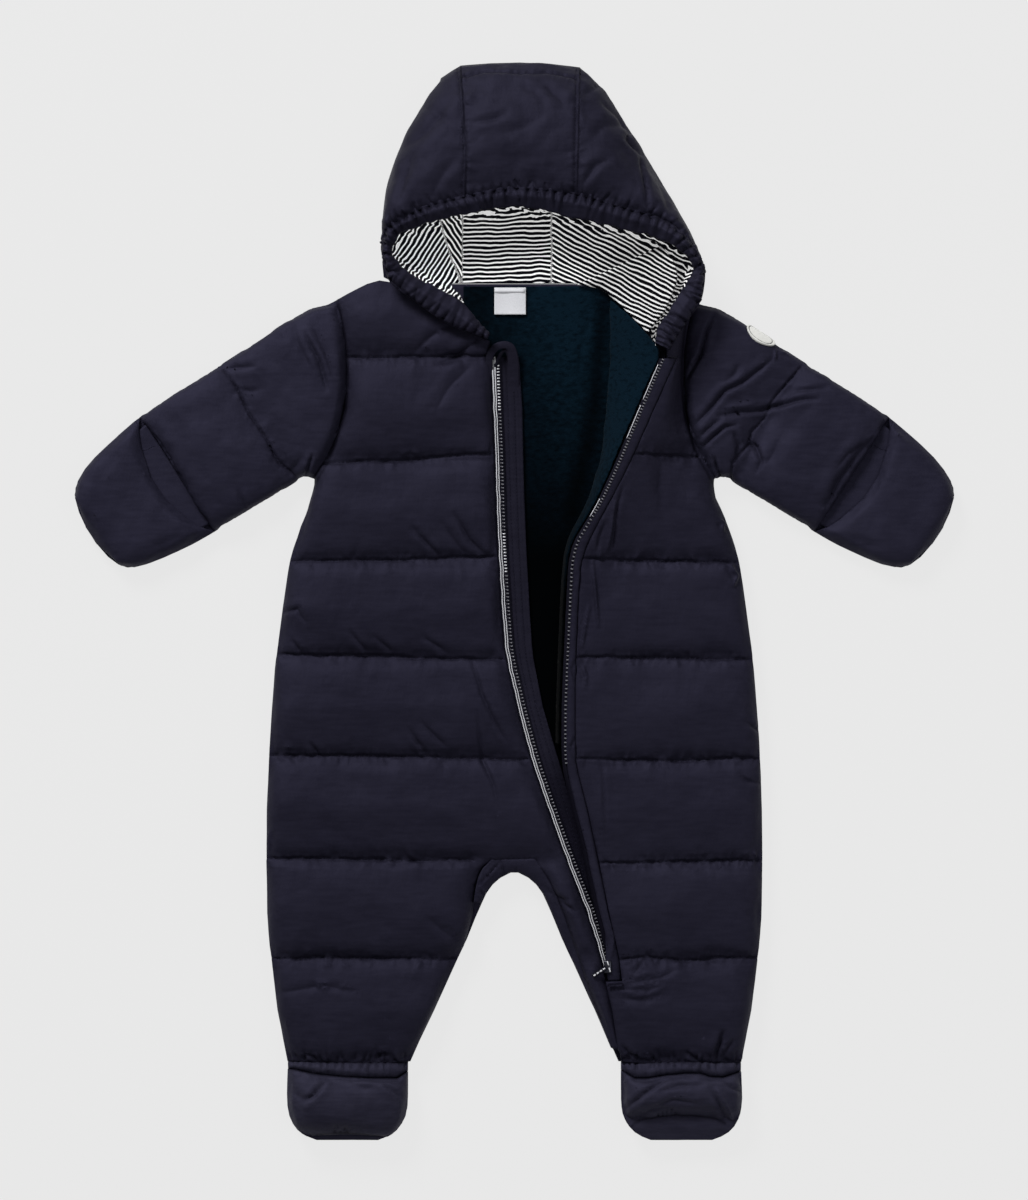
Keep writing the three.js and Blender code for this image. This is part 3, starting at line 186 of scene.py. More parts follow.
# Dye: large soft clouds of lighter and darker cloth, and a fine crumple that the filling lends the surface
dye, entry, leave = new_group("dye_and_crumple", [("Place", VECTOR, None)], [("Cloud", FLOAT), ("Crumple", FLOAT)])
dye.links.new(noise_node(dye, entry.outputs["Place"], 14, 3), leave.inputs["Cloud"])
dye.links.new(noise_node(dye, entry.outputs["Place"], 120, 4, (1.0, 0.55, 1.0)), leave.inputs["Crumple"])

# Brushed pile of the fleece
pile, entry, leave = new_group("fleece_pile", [("Place", VECTOR, None)], [("Height", FLOAT), ("Tuft", FLOAT)])
pile.links.new(noise_node(pile, entry.outputs["Place"], 900, 4), leave.inputs["Height"])
pile.links.new(noise_node(pile, entry.outputs["Place"], 420, 4, (0.6, 1.0, 1.0)), leave.inputs["Tuft"])
print("node groups", [g.name for g in (weave, dye, pile)])


# %% Cloth materials
def place_of(tree):
    return tree.nodes.new("ShaderNodeTexCoord").outputs["Object"]


def use_group(tree, group, vector):
    node = tree.nodes.new("ShaderNodeGroup")
    node.node_tree = group
    tree.links.new(vector, node.inputs["Place"])
    return node


def mix_colors(tree, share, dark, light, target):
    ramp = tree.nodes.new("ShaderNodeValToRGB")
    ramp.color_ramp.elements[0].color, ramp.color_ramp.elements[1].color = dark, light
    ramp.color_ramp.elements[0].position, ramp.color_ramp.elements[1].position = 0.25, 0.75
    tree.links.new(share, ramp.inputs["Fac"])
    tree.links.new(ramp.outputs["Color"], target)
    return ramp


def bump(tree, shader, height, strength, distance, below=None):
    node = tree.nodes.new("ShaderNodeBump")
    node.inputs["Strength"].default_value = strength
    node.inputs["Distance"].default_value = distance
    tree.links.new(height, node.inputs["Height"])
    if below:
        tree.links.new(below, node.inputs["Normal"])
    tree.links.new(node.outputs["Normal"], shader.inputs["Normal"])
    return node.outputs["Normal"]


def woven_material(name, dark, light, roughness=0.6):
    """Dyed plain-weave nylon, whose gloss takes the colour of the dye."""
    material, tree, shader = new_material(
        name, roughness, light, Specular_IOR_Level=0.15, Specular_Tint=(0.6, 0.58, 1.0, 1.0))
    place = place_of(tree)
    threads, cloth = use_group(tree, weave, place), use_group(tree, dye, place)
    shade = math_node(tree, "ADD", math_node(tree, "MULTIPLY", threads.outputs["Slub"], 0.6),
                      math_node(tree, "MULTIPLY", cloth.outputs["Cloud"], 0.4))
    # Painted shade: an attribute darkens the dye towards near-black along grooves, creases, gathers and seams, where
    # the thread is dark too
    painted_shade_and_print = tree.nodes.new("ShaderNodeAttribute")
    painted_shade_and_print.attribute_name = "painted_shade_and_print"
    painted_shade_mix = tree.nodes.new("ShaderNodeMix")
    painted_shade_mix.data_type = "RGBA"
    painted_shade_mix.inputs["B"].default_value = srgb(5, 4, 9)
    ramp = mix_colors(tree, shade, dark, light, painted_shade_mix.inputs["A"])
    ramp.color_ramp.elements[0].position, ramp.color_ramp.elements[1].position = 0.34, 0.62
    tree.links.new(painted_shade_and_print.outputs["Fac"], painted_shade_mix.inputs["Factor"])
    tree.links.new(painted_shade_mix.outputs["Result"], shader.inputs["Base Color"])
    rough = math_node(tree, "MULTIPLY_ADD", threads.outputs["Slub"], 0.16, roughness - 0.08)
    tree.links.new(rough, shader.inputs["Roughness"])
    crumple = bump(tree, shader, cloth.outputs["Crumple"], 0.8, 0.0009)
    bump(tree, shader, threads.outputs["Height"], 0.35, 0.00008, crumple)
    return material


def fleece_material(name, dark, light):
    """Brushed fleece: no gloss, a soft halo, short uneven pile."""
    material, tree, shader = new_material(
        name, 0.97, light, Specular_IOR_Level=0.0, Sheen_Weight=0.015, Sheen_Roughness=0.6)
    tufts = use_group(tree, pile, place_of(tree))
    # Painted shade: the attribute darkens the fleece towards near-black where it lies deep in the opening
    painted_fleece_shade = tree.nodes.new("ShaderNodeAttribute")
    painted_fleece_shade.attribute_name = "stripe_place_and_fleece_shade"
    tuft = math_node(tree, "MULTIPLY_ADD", tufts.outputs["Tuft"], 1.2, -0.6)
    depth = math_node(tree, "MULTIPLY_ADD", painted_fleece_shade.outputs["Fac"], 0.5, 0.25)
    shade = math_node(tree, "ADD", depth, math_node(tree, "MULTIPLY", tuft, painted_fleece_shade.outputs["Fac"]))
    mix_colors(tree, shade, dark, light, shader.inputs["Base Color"])
    bump(tree, shader, tufts.outputs["Height"], 0.7, 0.0006)
    return material


NAVY = woven_material("navy_shell", srgb(24, 23, 34), srgb(31, 30, 42))
NAVY_HOOD = woven_material("navy_hood", srgb(21, 20, 30), srgb(28, 27, 38))
NAVY_LIGHT = woven_material("navy_shell_arms_and_feet", srgb(27, 26, 38), srgb(35, 34, 47))
# A lighter copy of the shell navy for ankles, uppers and soles: painted light for the lit, rounded booties
NAVY_FEET = woven_material("navy_booties_painted_lighter", srgb(32, 31, 43), srgb(42, 41, 54))
NAVY_FLY = woven_material("navy_wind_flap", srgb(20, 19, 28), srgb(27, 26, 36), 0.68)
TAPE = woven_material("zip_tape", srgb(13, 13, 18), srgb(21, 20, 28), 0.75)
# The near-black end is the painted shade deep in the opening
FLEECE = fleece_material("teal_fleece", srgb(0, 1, 2), srgb(9, 25, 36))
THREAD = woven_material("sewing_thread", srgb(10, 9, 16), srgb(20, 19, 30), 0.5)
print("cloth materials ready")

# %% [markdown]
# ## Striped jersey
# The hood is lined in navy and white jersey, whose stripes run a different way on each panel. Each panel
# stores how far across the stripes a point lies, so the stripes bend with the cloth's own wrinkles.

# %% Striped jersey
STRIPE_PITCH = 2.93
STRIPE_EDGE, STRIPE_SHIFT = 4.2, -1.2  # how sharp a stripe's edge is, and how much navy wins over white
JERSEY_THREADS = 1100


def striped_material(name, glow):
    """Knitted stripes that glow a little in their own colour: painted light that lifts the jersey out of the hood's
    shade.
    """
    material, tree, shader = new_material(
        name, 0.86, (1, 1, 1, 1), Specular_IOR_Level=0.05, Emission_Strength=glow)
    across = tree.nodes.new("ShaderNodeAttribute")
    across.attribute_name = "stripe_place_and_fleece_shade"
    place = place_of(tree)
    wander = math_node(tree, "MULTIPLY_ADD", noise_node(tree, place, 320, 3), 0.34, -0.17)
    turns = math_node(tree, "DIVIDE", math_node(tree, "ADD", across.outputs["Fac"], wander), STRIPE_PITCH)
    wave = math_node(tree, "SINE", math_node(tree, "MULTIPLY", turns, 2 * math.pi))
    share = math_node(tree, "MULTIPLY_ADD", wave, STRIPE_EDGE, STRIPE_SHIFT)
    share = math_node(tree, "MINIMUM", math_node(tree, "MAXIMUM", share, 0.0), 1.0)
    ramp = mix_colors(tree, share, srgb(4, 4, 8), srgb(232, 232, 232), shader.inputs["Base Color"])
    tree.links.new(ramp.outputs["Color"], shader.inputs["Emission Color"])
    ramp.color_ramp.elements[0].position, ramp.color_ramp.elements[1].position = 0.05, 0.95
    knit = use_group(tree, weave, place)
    knit.inputs["Threads per metre"].default_value = JERSEY_THREADS
    bump(tree, shader, knit.outputs["Height"], 0.4, 0.0001)
    return material


# Two copies of one jersey that differ only in painted glow: the lining deep in the hood glows more than the raised
# neck lining
JERSEY = striped_material("striped_jersey", 0.48)
JERSEY_RAISED = striped_material("striped_jersey_at_neck", 0.04)
print("stripe pitch", STRIPE_PITCH, "mm")

# %% [markdown]
# ## Trim materials
# The zip has a reflective double line, nylon teeth and a metal slider. The label is white satin and the
# badge is smooth and white with a thin dark ring.

# %% Trim materials
def plain_material(name, color, roughness, grain=0.0, grain_scale=900, **sockets):
    material, tree, shader = new_material(name, roughness, color, **sockets)
    place = place_of(tree)
    shade = noise_node(tree, place, grain_scale, 3)
    dark = tuple(c * 0.82 for c in color[:3]) + (1.0,)
    mix_colors(tree, shade, dark, color, shader.inputs["Base Color"])
    rough = math_node(tree, "MULTIPLY_ADD", shade, 0.2, roughness - 0.1)
    tree.links.new(rough, shader.inputs["Roughness"])
    if grain:
        bump(tree, shader, shade, grain, 0.00012)
    return material


def ringed_material(name, color, dark):
    """A smooth moulded surface with a printed ring, where the piece's own attribute marks it."""
    material, tree, shader = new_material(name, 0.5, color, Specular_IOR_Level=0.3)
    mark = tree.nodes.new("ShaderNodeAttribute")
    mark.attribute_name = "painted_shade_and_print"
    mix_colors(tree, mark.outputs["Fac"], color, dark, shader.inputs["Base Color"])
    return material


SILVER = plain_material("reflective_silver", srgb(225, 226, 232), 0.42, 0.6, 2600, Metallic=0.25)
TEETH = plain_material("nylon_teeth", srgb(38, 37, 46), 0.38, 0.3)
# Pale grey for the teeth's tips, a painted highlight where they catch the light; it also colours the dots on the
# reflective line
TEETH_PALE = plain_material("pale_tips_painted_highlight", srgb(120, 120, 128), 0.35, 0.3)
METAL = plain_material("burnished_metal", srgb(74, 75, 84), 0.33, 0.4, 500, Metallic=1.0)
SATIN = plain_material("label_satin", srgb(222, 223, 228), 0.45, 0.5, 1500, Sheen_Weight=0.2)
BADGE_WHITE = ringed_material("badge_white", srgb(222, 222, 218), srgb(16, 16, 22))
FLOOR_CARD, _, _ = new_material(
    "floor_card", 0.95, srgb(60, 60, 60), Specular_IOR_Level=0.0,
    Emission_Color=srgb(233, 233, 233), Emission_Strength=0.945)
floor_mesh.materials.append(FLOOR_CARD)
print("trim materials ready")


# %% [markdown]
# ## From a solid to cloth
# A solid's mesh has a few hundred large faces. Its copy is merged, its long edges are halved until they are a
# few millimetres, and the corners left by the large faces are smoothed away, while the seam edges stay put.

# %% Copying a solid into small faces
SPECK = 8e-8  # square metres: a smaller face is a sliver, not a wall with a seam
FLOOR_TOUCH = 0.0003  # metres: points below this stay on the floor


def merged_copy(node):
    bm = bmesh.new()
    bm.from_mesh(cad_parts[node].data)
    bmesh.ops.remove_doubles(bm, verts=bm.verts, dist=0.00002)
    bm.normal_update()
    return bm


def halve_long_edges(bm, fine, coarse):
    """Halves edges until they are about fine millimetres above and coarse millimetres underneath."""
    def wanted(edge):
        return coarse if all(face.normal.z < -0.6 for face in edge.link_faces) else fine

    for step in (24, 12, 6, 3, 1.5, 1):
        long = [e for e in bm.edges if e.calc_length() > 1.35 * step * wanted(e) * MM]
        if not long:
            continue
        bmesh.ops.subdivide_edges(bm, edges=long, cuts=1)
        many = [f for f in bm.faces if len(f.verts) > 3]
        bmesh.ops.triangulate(bm, faces=many, quad_method="BEAUTY", ngon_method="BEAUTY")
        bm.normal_update()


def refine_near(bm, lines, reach=5.0, size=1.0):
    """Halves the upper edges close to sewn lines, so that a thin groove has points to follow."""
    for _ in range(4):
        edges = [e for e in bm.edges if e.calc_length() > 1.35 * size * MM
                 and all(face.normal.z > -0.3 for face in e.link_faces)]
        if not edges:
            return
        middles = np.array([(e.verts[0].co + e.verts[1].co) / 2 for e in edges]) * 1000
        near = np.zeros(len(edges), bool)
        for line in lines:
            near |= np.abs(off_line(middles, line)) < reach
        chosen = [edge for edge, wanted in zip(edges, near) if wanted]
        if not chosen:
            return
        bmesh.ops.subdivide_edges(bm, edges=chosen, cuts=1)
        many = [f for f in bm.faces if len(f.verts) > 3]
        bmesh.ops.triangulate(bm, faces=many, quad_method="BEAUTY", ngon_method="BEAUTY")
        bm.normal_update()


def seam_verts(bm, by):
    """The points of the seam edges: upright walls of a flat panel, or the sharp corners of a shell."""
    if by == "wall":
        return {v for f in bm.faces if abs(f.normal.z) < 0.35 for v in f.verts}
    corners = [e for e in bm.edges if e.is_manifold and e.calc_face_angle(0) > math.radians(by)
               and min(face.calc_area() for face in e.link_faces) > SPECK]
    return {v for e in corners for v in e.verts}


def cloth_copy(node, fine=3.0, coarse=14.0, seams="wall", rounds=10, lines=(), reach=5.0, size=1.0):
    bm = merged_copy(node)
    halve_long_edges(bm, fine, coarse)
    refine_near(bm, lines, reach, size)
    held = seam_verts(bm, seams)
    free = [v for v in bm.verts if v not in held]
    low = {v: v.co.z for v in bm.verts if v.co.z < FLOOR_TOUCH}
    for _ in range(rounds):
        bmesh.ops.smooth_vert(bm, verts=free, factor=0.5, use_axis_x=True, use_axis_y=True, use_axis_z=True)
    for v, z in low.items():
        v.co.z = z
    bm.normal_update()
    return bm, held


# %% Joining and moving cloth
STITCH_PULL = 0.62  # share of a seam's gap that each side closes, a little over half
solid_trees = {}


def meet(bm, neighbours, gap, reach=5.0):
    """Draws the edge of a piece over the seam's gap to its neighbours, as the stitches do."""
    for node in neighbours:
        if node not in solid_trees:
            solid = merged_copy(node)
            solid_trees[node] = BVHTree.FromBMesh(solid)
            solid.free()
        for v in bm.verts:
            hit, _, _, distance = solid_trees[node].find_nearest(v.co, (gap + reach) * MM)
            if hit is None or distance < 1e-7:
                continue
            share = min(max(1 - (distance / MM - gap) / reach, 0), 1)
            v.co += (hit - v.co) * (STITCH_PULL * gap * share * MM / distance)
    bm.normal_update()


def points_of(bm):
    """Places in millimetres and normals of a mesh's points."""
    places = np.array([v.co for v in bm.verts]) * 1000
    normals = np.array([v.normal for v in bm.verts])
    return places, normals


def away_from(bm, held):
    """Each point's distance in millimetres from the nearest seam point."""
    tree = KDTree(len(held))
    for index, v in enumerate(held):
        tree.insert(v.co, index)
    tree.balance()
    return np.array([tree.find(v.co)[2] for v in bm.verts]) * 1000


def fade_in(distance, reach):
    share = np.clip(distance / reach, 0, 1)
    return share * share * (3 - 2 * share)


def move_out(bm, height, normals, upper_only=True):
    """Moves points along their normals by height, in millimetres."""
    weight = np.clip(normals[:, 2] * 3, 0, 1) if upper_only else 1.0
    shift = normals * (height * weight)[:, None] * MM
    for v, step in zip(bm.verts, shift):
        v.co += Vector(step)
    bm.normal_update()


# %% Finished pieces
# The darkest that the painted shade may make the cloth
DARKEST_PAINTED_SHADE = 0.9


def finish_piece(bm, name, material, nodes=(), body="suit", across=None, painted_shade_and_print=None):
    """The bmesh as an object that stands for its CAD nodes and moves with its body."""
    mesh = bpy.data.meshes.new(name)
    for face in bm.faces:
        face.smooth = True
    bm.to_mesh(mesh)
    if across is not None:
        mesh.attributes.new("stripe_place_and_fleece_shade", "FLOAT", "POINT").data.foreach_set("value", across)
    # The darkening attribute: painted shade in grooves, creases and gathers, with the dark thread of the seams, and
    # the badge's printed ring
    if painted_shade_and_print is not None:
        mesh.attributes.new("painted_shade_and_print", "FLOAT", "POINT").data.foreach_set("value", np.clip(painted_shade_and_print, 0, DARKEST_PAINTED_SHADE))
    bm.free()
    mesh.materials.append(material)
    piece = bpy.data.objects.new(name, mesh)
    bpy.context.collection.objects.link(piece)
    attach(piece, body)
    if nodes:
        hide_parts(*nodes)
    print(name, len(mesh.polygons), "faces")
    return piece


# %% [markdown]
# ## Quilting, puckers and creases
# A stitched line holds the cloth down, and the filling swells beside it. The stitch also draws the cloth
# together, so short puckers run off both sides of the line, uneven in length and spacing. Larger creases
# are laid where the garment shows them: a line of points, a width and a depth.

# %% Distances from a drawn line
def hump(distance, width):
    """A smooth bump of height 1 over a line, which has faded to a third at its width."""
    return np.exp(-(distance / width) ** 2)


def along(places, line):
    """For each point: how far along a drawn line it lies, and how far beside it, seen from above."""
    line = np.array([p[:2] for p in line], float)
    run, beside = np.zeros(len(places)), np.full(len(places), 1e9)
    start = 0.0
    for a, b in zip(line[:-1], line[1:]):
        span = b - a
        length = math.hypot(*span)
        offset = places[:, :2] - a
        share = offset @ span / length ** 2
        nearest = offset - np.clip(share, 0, 1)[:, None] * span
        side = np.where(span[0] * offset[:, 1] - span[1] * offset[:, 0] >= 0, 1.0, -1.0)
        distance = np.hypot(nearest[:, 0], nearest[:, 1])
        closer = distance < np.abs(beside)
        beside = np.where(closer, side * distance, beside)
        run = np.where(closer, start + np.clip(share, 0, 1) * length, run)
        start += length
    return run, beside, start


def off_line(places, line):
    """How far beside a drawn line each point lies."""
    return along(places, line)[1]


def ripple(run, pitch, rng):
    """A smooth random wave along a line, from -1 to 1."""
    knots = rng.uniform(-1, 1, int(np.max(run) / pitch) + 4)
    at = np.maximum(run, 0) / pitch
    low = at.astype(int)
    share = at - low
    share = share * share * (3 - 2 * share)
    return knots[low] * (1 - share) + knots[low + 1] * share


# %% Puckers and gathers
SHORT_PUCKERS = {"pitch": (2.4, 6.5), "reach": (3, 9), "rise": (0.12, 0.42), "wide": (0.7, 1.5)}
LONG_PUCKERS = {"pitch": (13, 40), "reach": (10, 26), "rise": (0.25, 0.75), "wide": (1.7, 3.4)}


def puckers(run, beside, length, rng, pitch, reach, rise, wide):
    """Folds that run off a stitched line, on both sides, most of them raised and some sunk."""
    height = np.zeros(len(run))
    near = np.flatnonzero(np.abs(beside) < reach[1] * 2.5)
    for side in (1, -1):
        on = near[beside[near] * side > 0]
        at = rng.uniform(0, pitch[1])
        while at < length:
            far, lift = rng.uniform(*reach), rng.uniform(*rise) * rng.choice([1, 1, -0.8])
            width, slant = rng.uniform(*wide), rng.uniform(-0.5, 0.5)
            out = np.abs(beside[on]) / far
            offset = (run[on] - at - slant * np.abs(beside[on])) / (width * (1 + 0.7 * out))
            height[on] += lift * np.exp(-offset ** 2) * np.exp(0.6 - out * 2.4) * np.minimum(out * 7, 1)
            at += rng.uniform(*pitch)
    return height


def gathers_across(places, line, rng, pitch, above, below, depth=(0.8, 2.2)):
    """Narrow valleys across a gathered line, with the cloth swelling between them, and painted shade in the valleys
    and along the line.
    """
    run, off, length = along(places, line)
    height, at = np.zeros(len(run)), 3.0
    # Painted shade along the gathered line and in each valley
    painted_gather_shade = 0.6 * (0.8 + 0.4 * ripple(run, 3, rng)) * hump(off, 0.7)
    while at < length:
        deep, slant = rng.uniform(*depth), rng.uniform(-0.45, 0.45)
        fade = hump(off, np.where(off > 0, rng.uniform(*above), rng.uniform(*below)))
        offset = run - at - slant * off
        height += fade * deep * (0.45 * hump(np.abs(offset) - 2.4, 1.4) - hump(offset, 0.85))
        painted_gather_shade += 0.3 * deep * fade * hump(offset, 0.5)
        at += rng.uniform(*pitch)
    return height, painted_gather_shade, run, off, length


# %% Sewn lines, creases and soft unevenness
def stitched_line(places, line, rng, depth=1.5, width=0.85, draw=0.7, spread=6.0, short=1.0, long=1.0,
                  short_how=SHORT_PUCKERS, long_how=LONG_PUCKERS, painted_shade_and_print=None, dark=0.75, wander=0.5):
    """The thin groove of a sewn line, the filling's slope down to it, and its puckers."""
    run, beside, length = along(places, line)
    beside = beside + wander * (0.7 * ripple(run, 11, rng) + 0.5 * ripple(run, 4, rng)) * (np.abs(beside) < 30)
    # Painted shade in the groove, together with the dark thread
    if painted_shade_and_print is not None:
        painted_shade_and_print += dark * (0.8 + 0.35 * ripple(run, 3, rng)) * hump(beside, 0.62)
    groove = depth * (1 + 0.2 * ripple(run, 5, rng)) * hump(beside, width)
    slope = draw * (1 + 0.3 * ripple(run, 14, rng)) * hump(beside, spread)
    folds = short * puckers(run, beside, length, rng, **short_how)
    folds += long * puckers(run, beside, length, rng, **long_how)
    return folds - groove - slope


def creases(places, table, painted_shade_and_print=None):
    """Creases laid one by one. Each row: its points, its width, and its depth, negative for a ridge."""
    height = np.zeros(len(places))
    for row in table:
        run, beside, length = along(places, row["line"])
        share = np.clip(run / length, 0, 1)
        taper = np.sin(math.pi * np.clip(share * 0.94 + 0.03, 0, 1)) ** 0.6
        trough = 0.65 * hump(beside, row["width"]) + 0.45 * hump(beside, 0.4 * row["width"])
        # Painted shade in the trough of each crease
        if painted_shade_and_print is not None and row["depth"] > 0:
            painted_shade_and_print += min(0.3 * row["depth"], 0.42) * taper * hump(beside, min(0.5 * row["width"], 0.9))
        lip = 0.45 * hump(np.abs(beside) - 2 * row["width"], 1.4 * row["width"])
        height -= row["depth"] * taper * (trough - lip)
    return height


def rumple(places, size, height, seed, stretch=(1.0, 1.0)):
    """The soft unevenness of filled cloth."""
    shift = Vector((seed * 7.3, seed * 3.1, seed * 1.7))
    scale = Vector((stretch[0] / size, stretch[1] / size, 1 / size))
    return np.array([noise.noise(Vector(p) * scale + shift) for p in places]) * height


print("height helpers ready")

# %% [markdown]
# ## Stitches, strips and beads laid on the cloth
# Threads, zip teeth and reflective lines are small things set along a drawn line. Each is a short box with
# its edges bevelled, turned to the line. Where it lies on cloth, a ray from above finds the cloth's height.

# %% Laying things along a line
def walk(line, pitch, first=0.5):
    """Places every pitch millimetres along a line, each with the line's direction there."""
    points = [Vector((p[0], p[1], p[2] if len(p) > 2 else 0.0)) for p in line]
    spots, start, at = [], 0.0, first * pitch
    for a, b in zip(points[:-1], points[1:]):
        length = (b - a).length
        while at <= start + length:
            spots.append((a.lerp(b, (at - start) / length), (b - a).normalized()))
            at += pitch
        start += length
    return spots


def beside(line, offset):
    """The same line moved sideways, to the left of its direction."""
    points = np.asarray([p[:2] for p in line], float)
    ahead = np.gradient(points, axis=0)
    ahead /= np.hypot(ahead[:, 0], ahead[:, 1])[:, None]
    return [(x - offset * dy, y + offset * dx) for (x, y), (dx, dy) in zip(points, ahead)]


def cloth_height(surfaces, x, y):
    """Height in millimetres of the topmost of these pieces at a place, or None beside them."""
    above, down = Vector((x * MM, y * MM, 0.2)), Vector((0, 0, -1))
    hits = [surface.ray_cast(above, down)[0] for surface in surfaces]
    tops = [hit.z * 1000 for hit in hits if hit is not None]
    return max(tops) if tops else None


def stitch_spots(line, surfaces, pitch=2.6, share=0.66, sink=0.0):
    """Where the stitches of a sewn line lie: middle, direction and length of each."""
    spots = []
    for middle, ahead in walk(line, pitch):
        ends = [middle + ahead * (pitch * share * half) for half in (-0.5, 0.5)]
        heights = [cloth_height(surfaces, p.x, p.y) for p in ends]
        if None in heights or abs(heights[0] - heights[1]) > 2:
            continue
        a, b = (Vector((p.x, p.y, z - sink)) for p, z in zip(ends, heights))
        spots.append(((a + b) / 2, b - a))
    return spots


def small_boxes(name, spots, size, material, body="suit", soften=0.3):
    """One mesh of bevelled boxes, size being length, width and height; a length of 0 follows the spot."""
    bm = bmesh.new()
    for middle, ahead in spots:
        x_axis = ahead.normalized()
        z_axis = (Vector((0, 0, 1)) - x_axis * x_axis.z).normalized()
        turn = Matrix((x_axis, z_axis.cross(x_axis), z_axis)).transposed().to_4x4()
        length = size[0] or ahead.length
        scale = Matrix.Diagonal((length * MM, size[1] * MM, size[2] * MM, 1))
        bmesh.ops.create_cube(bm, size=1.0, matrix=Matrix.Translation(middle * MM) @ turn @ scale)
    bmesh.ops.bevel(bm, geom=bm.edges[:], offset=min(size[1], size[2]) * soften * MM, segments=1, profile=0.5,
                    affect="EDGES", material=-1)
    return finish_piece(bm, name, material, body=body)


def laid_strip(line, width, thick, step=2.0, columns=2, arch=0.0, wander=0.0):
    """A strip laid along a line with heights: a grid bent to the line, then given its thickness."""
    spots = walk(line, step, first=0.0)
    last = len(spots) - 1
    bm = bmesh.new()
    bmesh.ops.create_grid(bm, x_segments=last, y_segments=columns, size=0.5)
    for v in bm.verts:
        index, across = round((v.co.x + 0.5) * last), v.co.y
        place, ahead = spots[index]
        wide = width(index / last) if callable(width) else width
        sideways = Vector((-ahead.y, ahead.x, 0)).normalized()
        sway = wander * noise.noise(Vector((index * 0.21, width if not callable(width) else 0.0, 3.0)))
        lift = arch * (1 - (2 * across) ** 2)
        v.co = (place + sideways * (across * wide + sway) + Vector((0, 0, lift))) * MM
    bmesh.ops.recalc_face_normals(bm, faces=bm.faces[:])
    bmesh.ops.solidify(bm, geom=bm.faces[:], thickness=thick * MM)
    bmesh.ops.recalc_face_normals(bm, faces=bm.faces[:])
    return bm


stitches = {}
print("laying helpers ready")

# %% [markdown]
# ## Body panels
# The two fronts are quilted straight across. Each band swells between its lines, and every line is a thin
# groove with short puckers and a few longer folds. At the ankle an elastic gathers the cloth far more.

# %% Quilting lines
QUILTING_RIGHT = [
    [(-112, 162.3), (-60, 162.8), (-16, 163.6)],
    [(-128, 92.6), (-70, 94.2), (-13, 98.4)],
    [(-152, 27.2), (-80, 27.4), (-11, 29.6)],
    [(-162, -35.6), (-80, -37.2), (-6, -38.4)],
    [(-166, -102.6), (-80, -103.6), (12, -105.2)],
    [(-167, -171.2), (-90, -172.2), (-27, -172.4)],
    [(-165, -237.6), (-90, -237.8), (-37, -238.6)],
]
QUILTING_LEFT = [
    [(76, 98.4), (98, 96.4), (123, 96.8)],
    [(46, 28.4), (90, 27.0), (152, 26.0)],
    [(42, -37.2), (90, -37.4), (162, -38.6)],
    [(42, -104.8), (90, -106.2), (166, -104.6)],
    [(57, -174.4), (100, -173.8), (167, -172.4)],
    [(70, -238.4), (88, -237.2), (110, -239.0), (150, -237.4), (165, -238.4)],
]
ANKLE_RIGHT = [(-152, -306.6), (-130.8, -306.8), (-100, -307.2), (-69, -307.0)]
ANKLE_LEFT = [(69, -306.8), (110, -307.2), (130, -306.8), (152, -306.6)]
ANKLE_GATHERS = {"pitch": (3.6, 7.5), "above": (3, 8), "below": (3, 7), "depth": (0.5, 1.7)}
ANKLE_SHORT = {"pitch": (2.4, 5.5), "reach": (4, 9), "rise": (0.4, 1.0), "wide": (0.9, 1.8)}
ANKLE_LONG = {"pitch": (7, 17), "reach": (9, 20), "rise": (0.6, 1.3), "wide": (1.6, 3.0)}
CREASE_DEPTH = 1.5
ARMHOLE_EDGE = [
    (118.5, 203.5), (113, 180), (111.3, 160), (111.2, 145), (112.8, 126), (118.6, 107), (125, 92), (132, 79),
]


def armhole_of(node):
    sign = 1 if node.endswith("left") else -1
    return [(sign * x, y) for x, y in ARMHOLE_EDGE]


BAND_Y = -313.65
BAND = {
    "right": [(-151.2, -311.8), (-147.3, -312.1), (-133.5, -314.9), (-116.1, -316.7), (-97.3, -317.8),
              (-77.9, -318.1), (-71, -313.6)],
    "left": [(71, -313.0), (72.5, -313.6), (80.3, -318), (88.1, -318), (101.5, -315.8), (113.7, -314.7),
             (123.7, -314.7), (130.3, -317), (139.2, -317.5), (151.4, -313.6)],
}


def curve_band(bm, side):
    """Moves the straight seam between ankle and bootie to the uneven line it has on the real one."""
    xs, ys = zip(*BAND[side])
    for v in bm.verts:
        x, y = v.co.x * 1000, v.co.y * 1000
        if y < BAND_Y + 14:
            v.co.y += (np.interp(x, xs, ys) - BAND_Y) * math.exp(-((y - BAND_Y) / 5) ** 2) * MM
    bm.normal_update()


